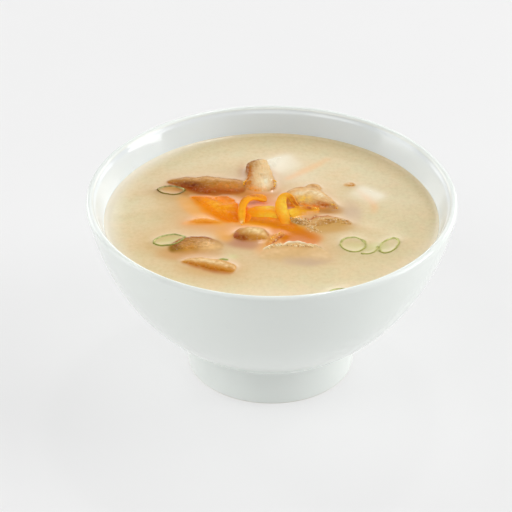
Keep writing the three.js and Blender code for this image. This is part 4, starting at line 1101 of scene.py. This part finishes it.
def makeFroth(axis, top):  # fine bubbles where the soup is held on the pieces' edges
    draw = random.Random(8)
    ball, skin = bead()
    points, faces, tones = [], [], []
    for (x0, y0), (x1, y1), stray, count, radii, names in froth:
        for _ in range(count):
            share, size = draw.random(), draw.uniform(*radii)
            x, y = (lerp(a, b, share) + draw.gauss(0, stray * 0.6) for a, b in ((x0, x1), (y0, y1)))
            z = soupLevel + readSheet(top, axis, np.array([x]), np.array([y]))[0] + size * 0.3
            faces += [tuple(i + len(points) for i in face) for face in skin]
            points += [(x + size * a, y + size * b, z + size * c) for a, b, c in ball]
            tones += [palette[draw.choice(names)]] * len(ball)
    look = wetFlesh("froth", (1, 1, 1), depth=0.1, relief=0.02, specksAndGlints=0, wet=1, shine=0.4)
    buildPiece("froth", points, faces, look, [], dict(tone=tones, lay=points))
    print("froth:", len(points), "points")


def soupMesh(axis, rise):  # the soup's surface, and a skirt under it that runs down the bowl's inside
    cells, overlap = soupForm["cells"], soupForm["overlap"]
    edge = innerRadius(soupLevel + meniscus["rise"]) + overlap
    x, y = (values * edge for values in roundGrid(cells))
    out = np.clip(1 - (edge - overlap - np.hypot(x, y)) / meniscus["width"], 0, 1)
    swell = rough(np.stack([x, y, x * 0], 1), soupForm["swellSize"], 70, 2) * soupForm["swell"] * (1 - out)
    z = soupLevel + readSheet(rise, axis, x, y) + meniscus["rise"] * out ** 3 + swell
    points = np.stack([x, y, z], 1)
    number = np.arange((cells + 1) ** 2).reshape(cells + 1, cells + 1)
    faces = [(number[i, j], number[i + 1, j], number[i + 1, j + 1], number[i, j + 1])
             for i in range(cells) for j in range(cells)]
    rim = np.concatenate([number[:-1, 0], number[-1, :-1], number[:0:-1, -1], number[0, :0:-1]])
    spokes, count = points[rim][:, :2] / edge, len(rim)
    depth, bottom, rows = soupForm["skirt"]
    above = rim
    for z in np.linspace(soupLevel - depth, innerPoint(0)[1] + bottom, rows):
        here = np.arange(len(points), len(points) + count)
        ring = np.column_stack([spokes * (innerRadius(z) + overlap), np.full(count, z)])
        points = np.vstack([points, ring])
        faces += [(above[k], here[k], here[(k + 1) % count], above[(k + 1) % count]) for k in range(count)]
        above = here
    faces.append(tuple(above[::-1]))
    return points, [tuple(int(i) for i in face) for face in faces]


def makeSoup():
    axis, rise, top, sunk, halo = paintSheets()
    makeFroth(axis, top)
    print("soup: tints worked out")
    points, faces = soupMesh(axis, rise)
    layers = {name: readSheet(sheet, axis, points[:, 0], points[:, 1])
              for name, sheet in (("sunk", sunk), ("halo", halo))}
    buildPiece("soup_surface", points, faces, soupLook(), ["soup"], layers)
    print("soup:", len(points), "points")


makeCamera()
makeStudio()
makeBowl()
makeGarnish()
makeSoup()
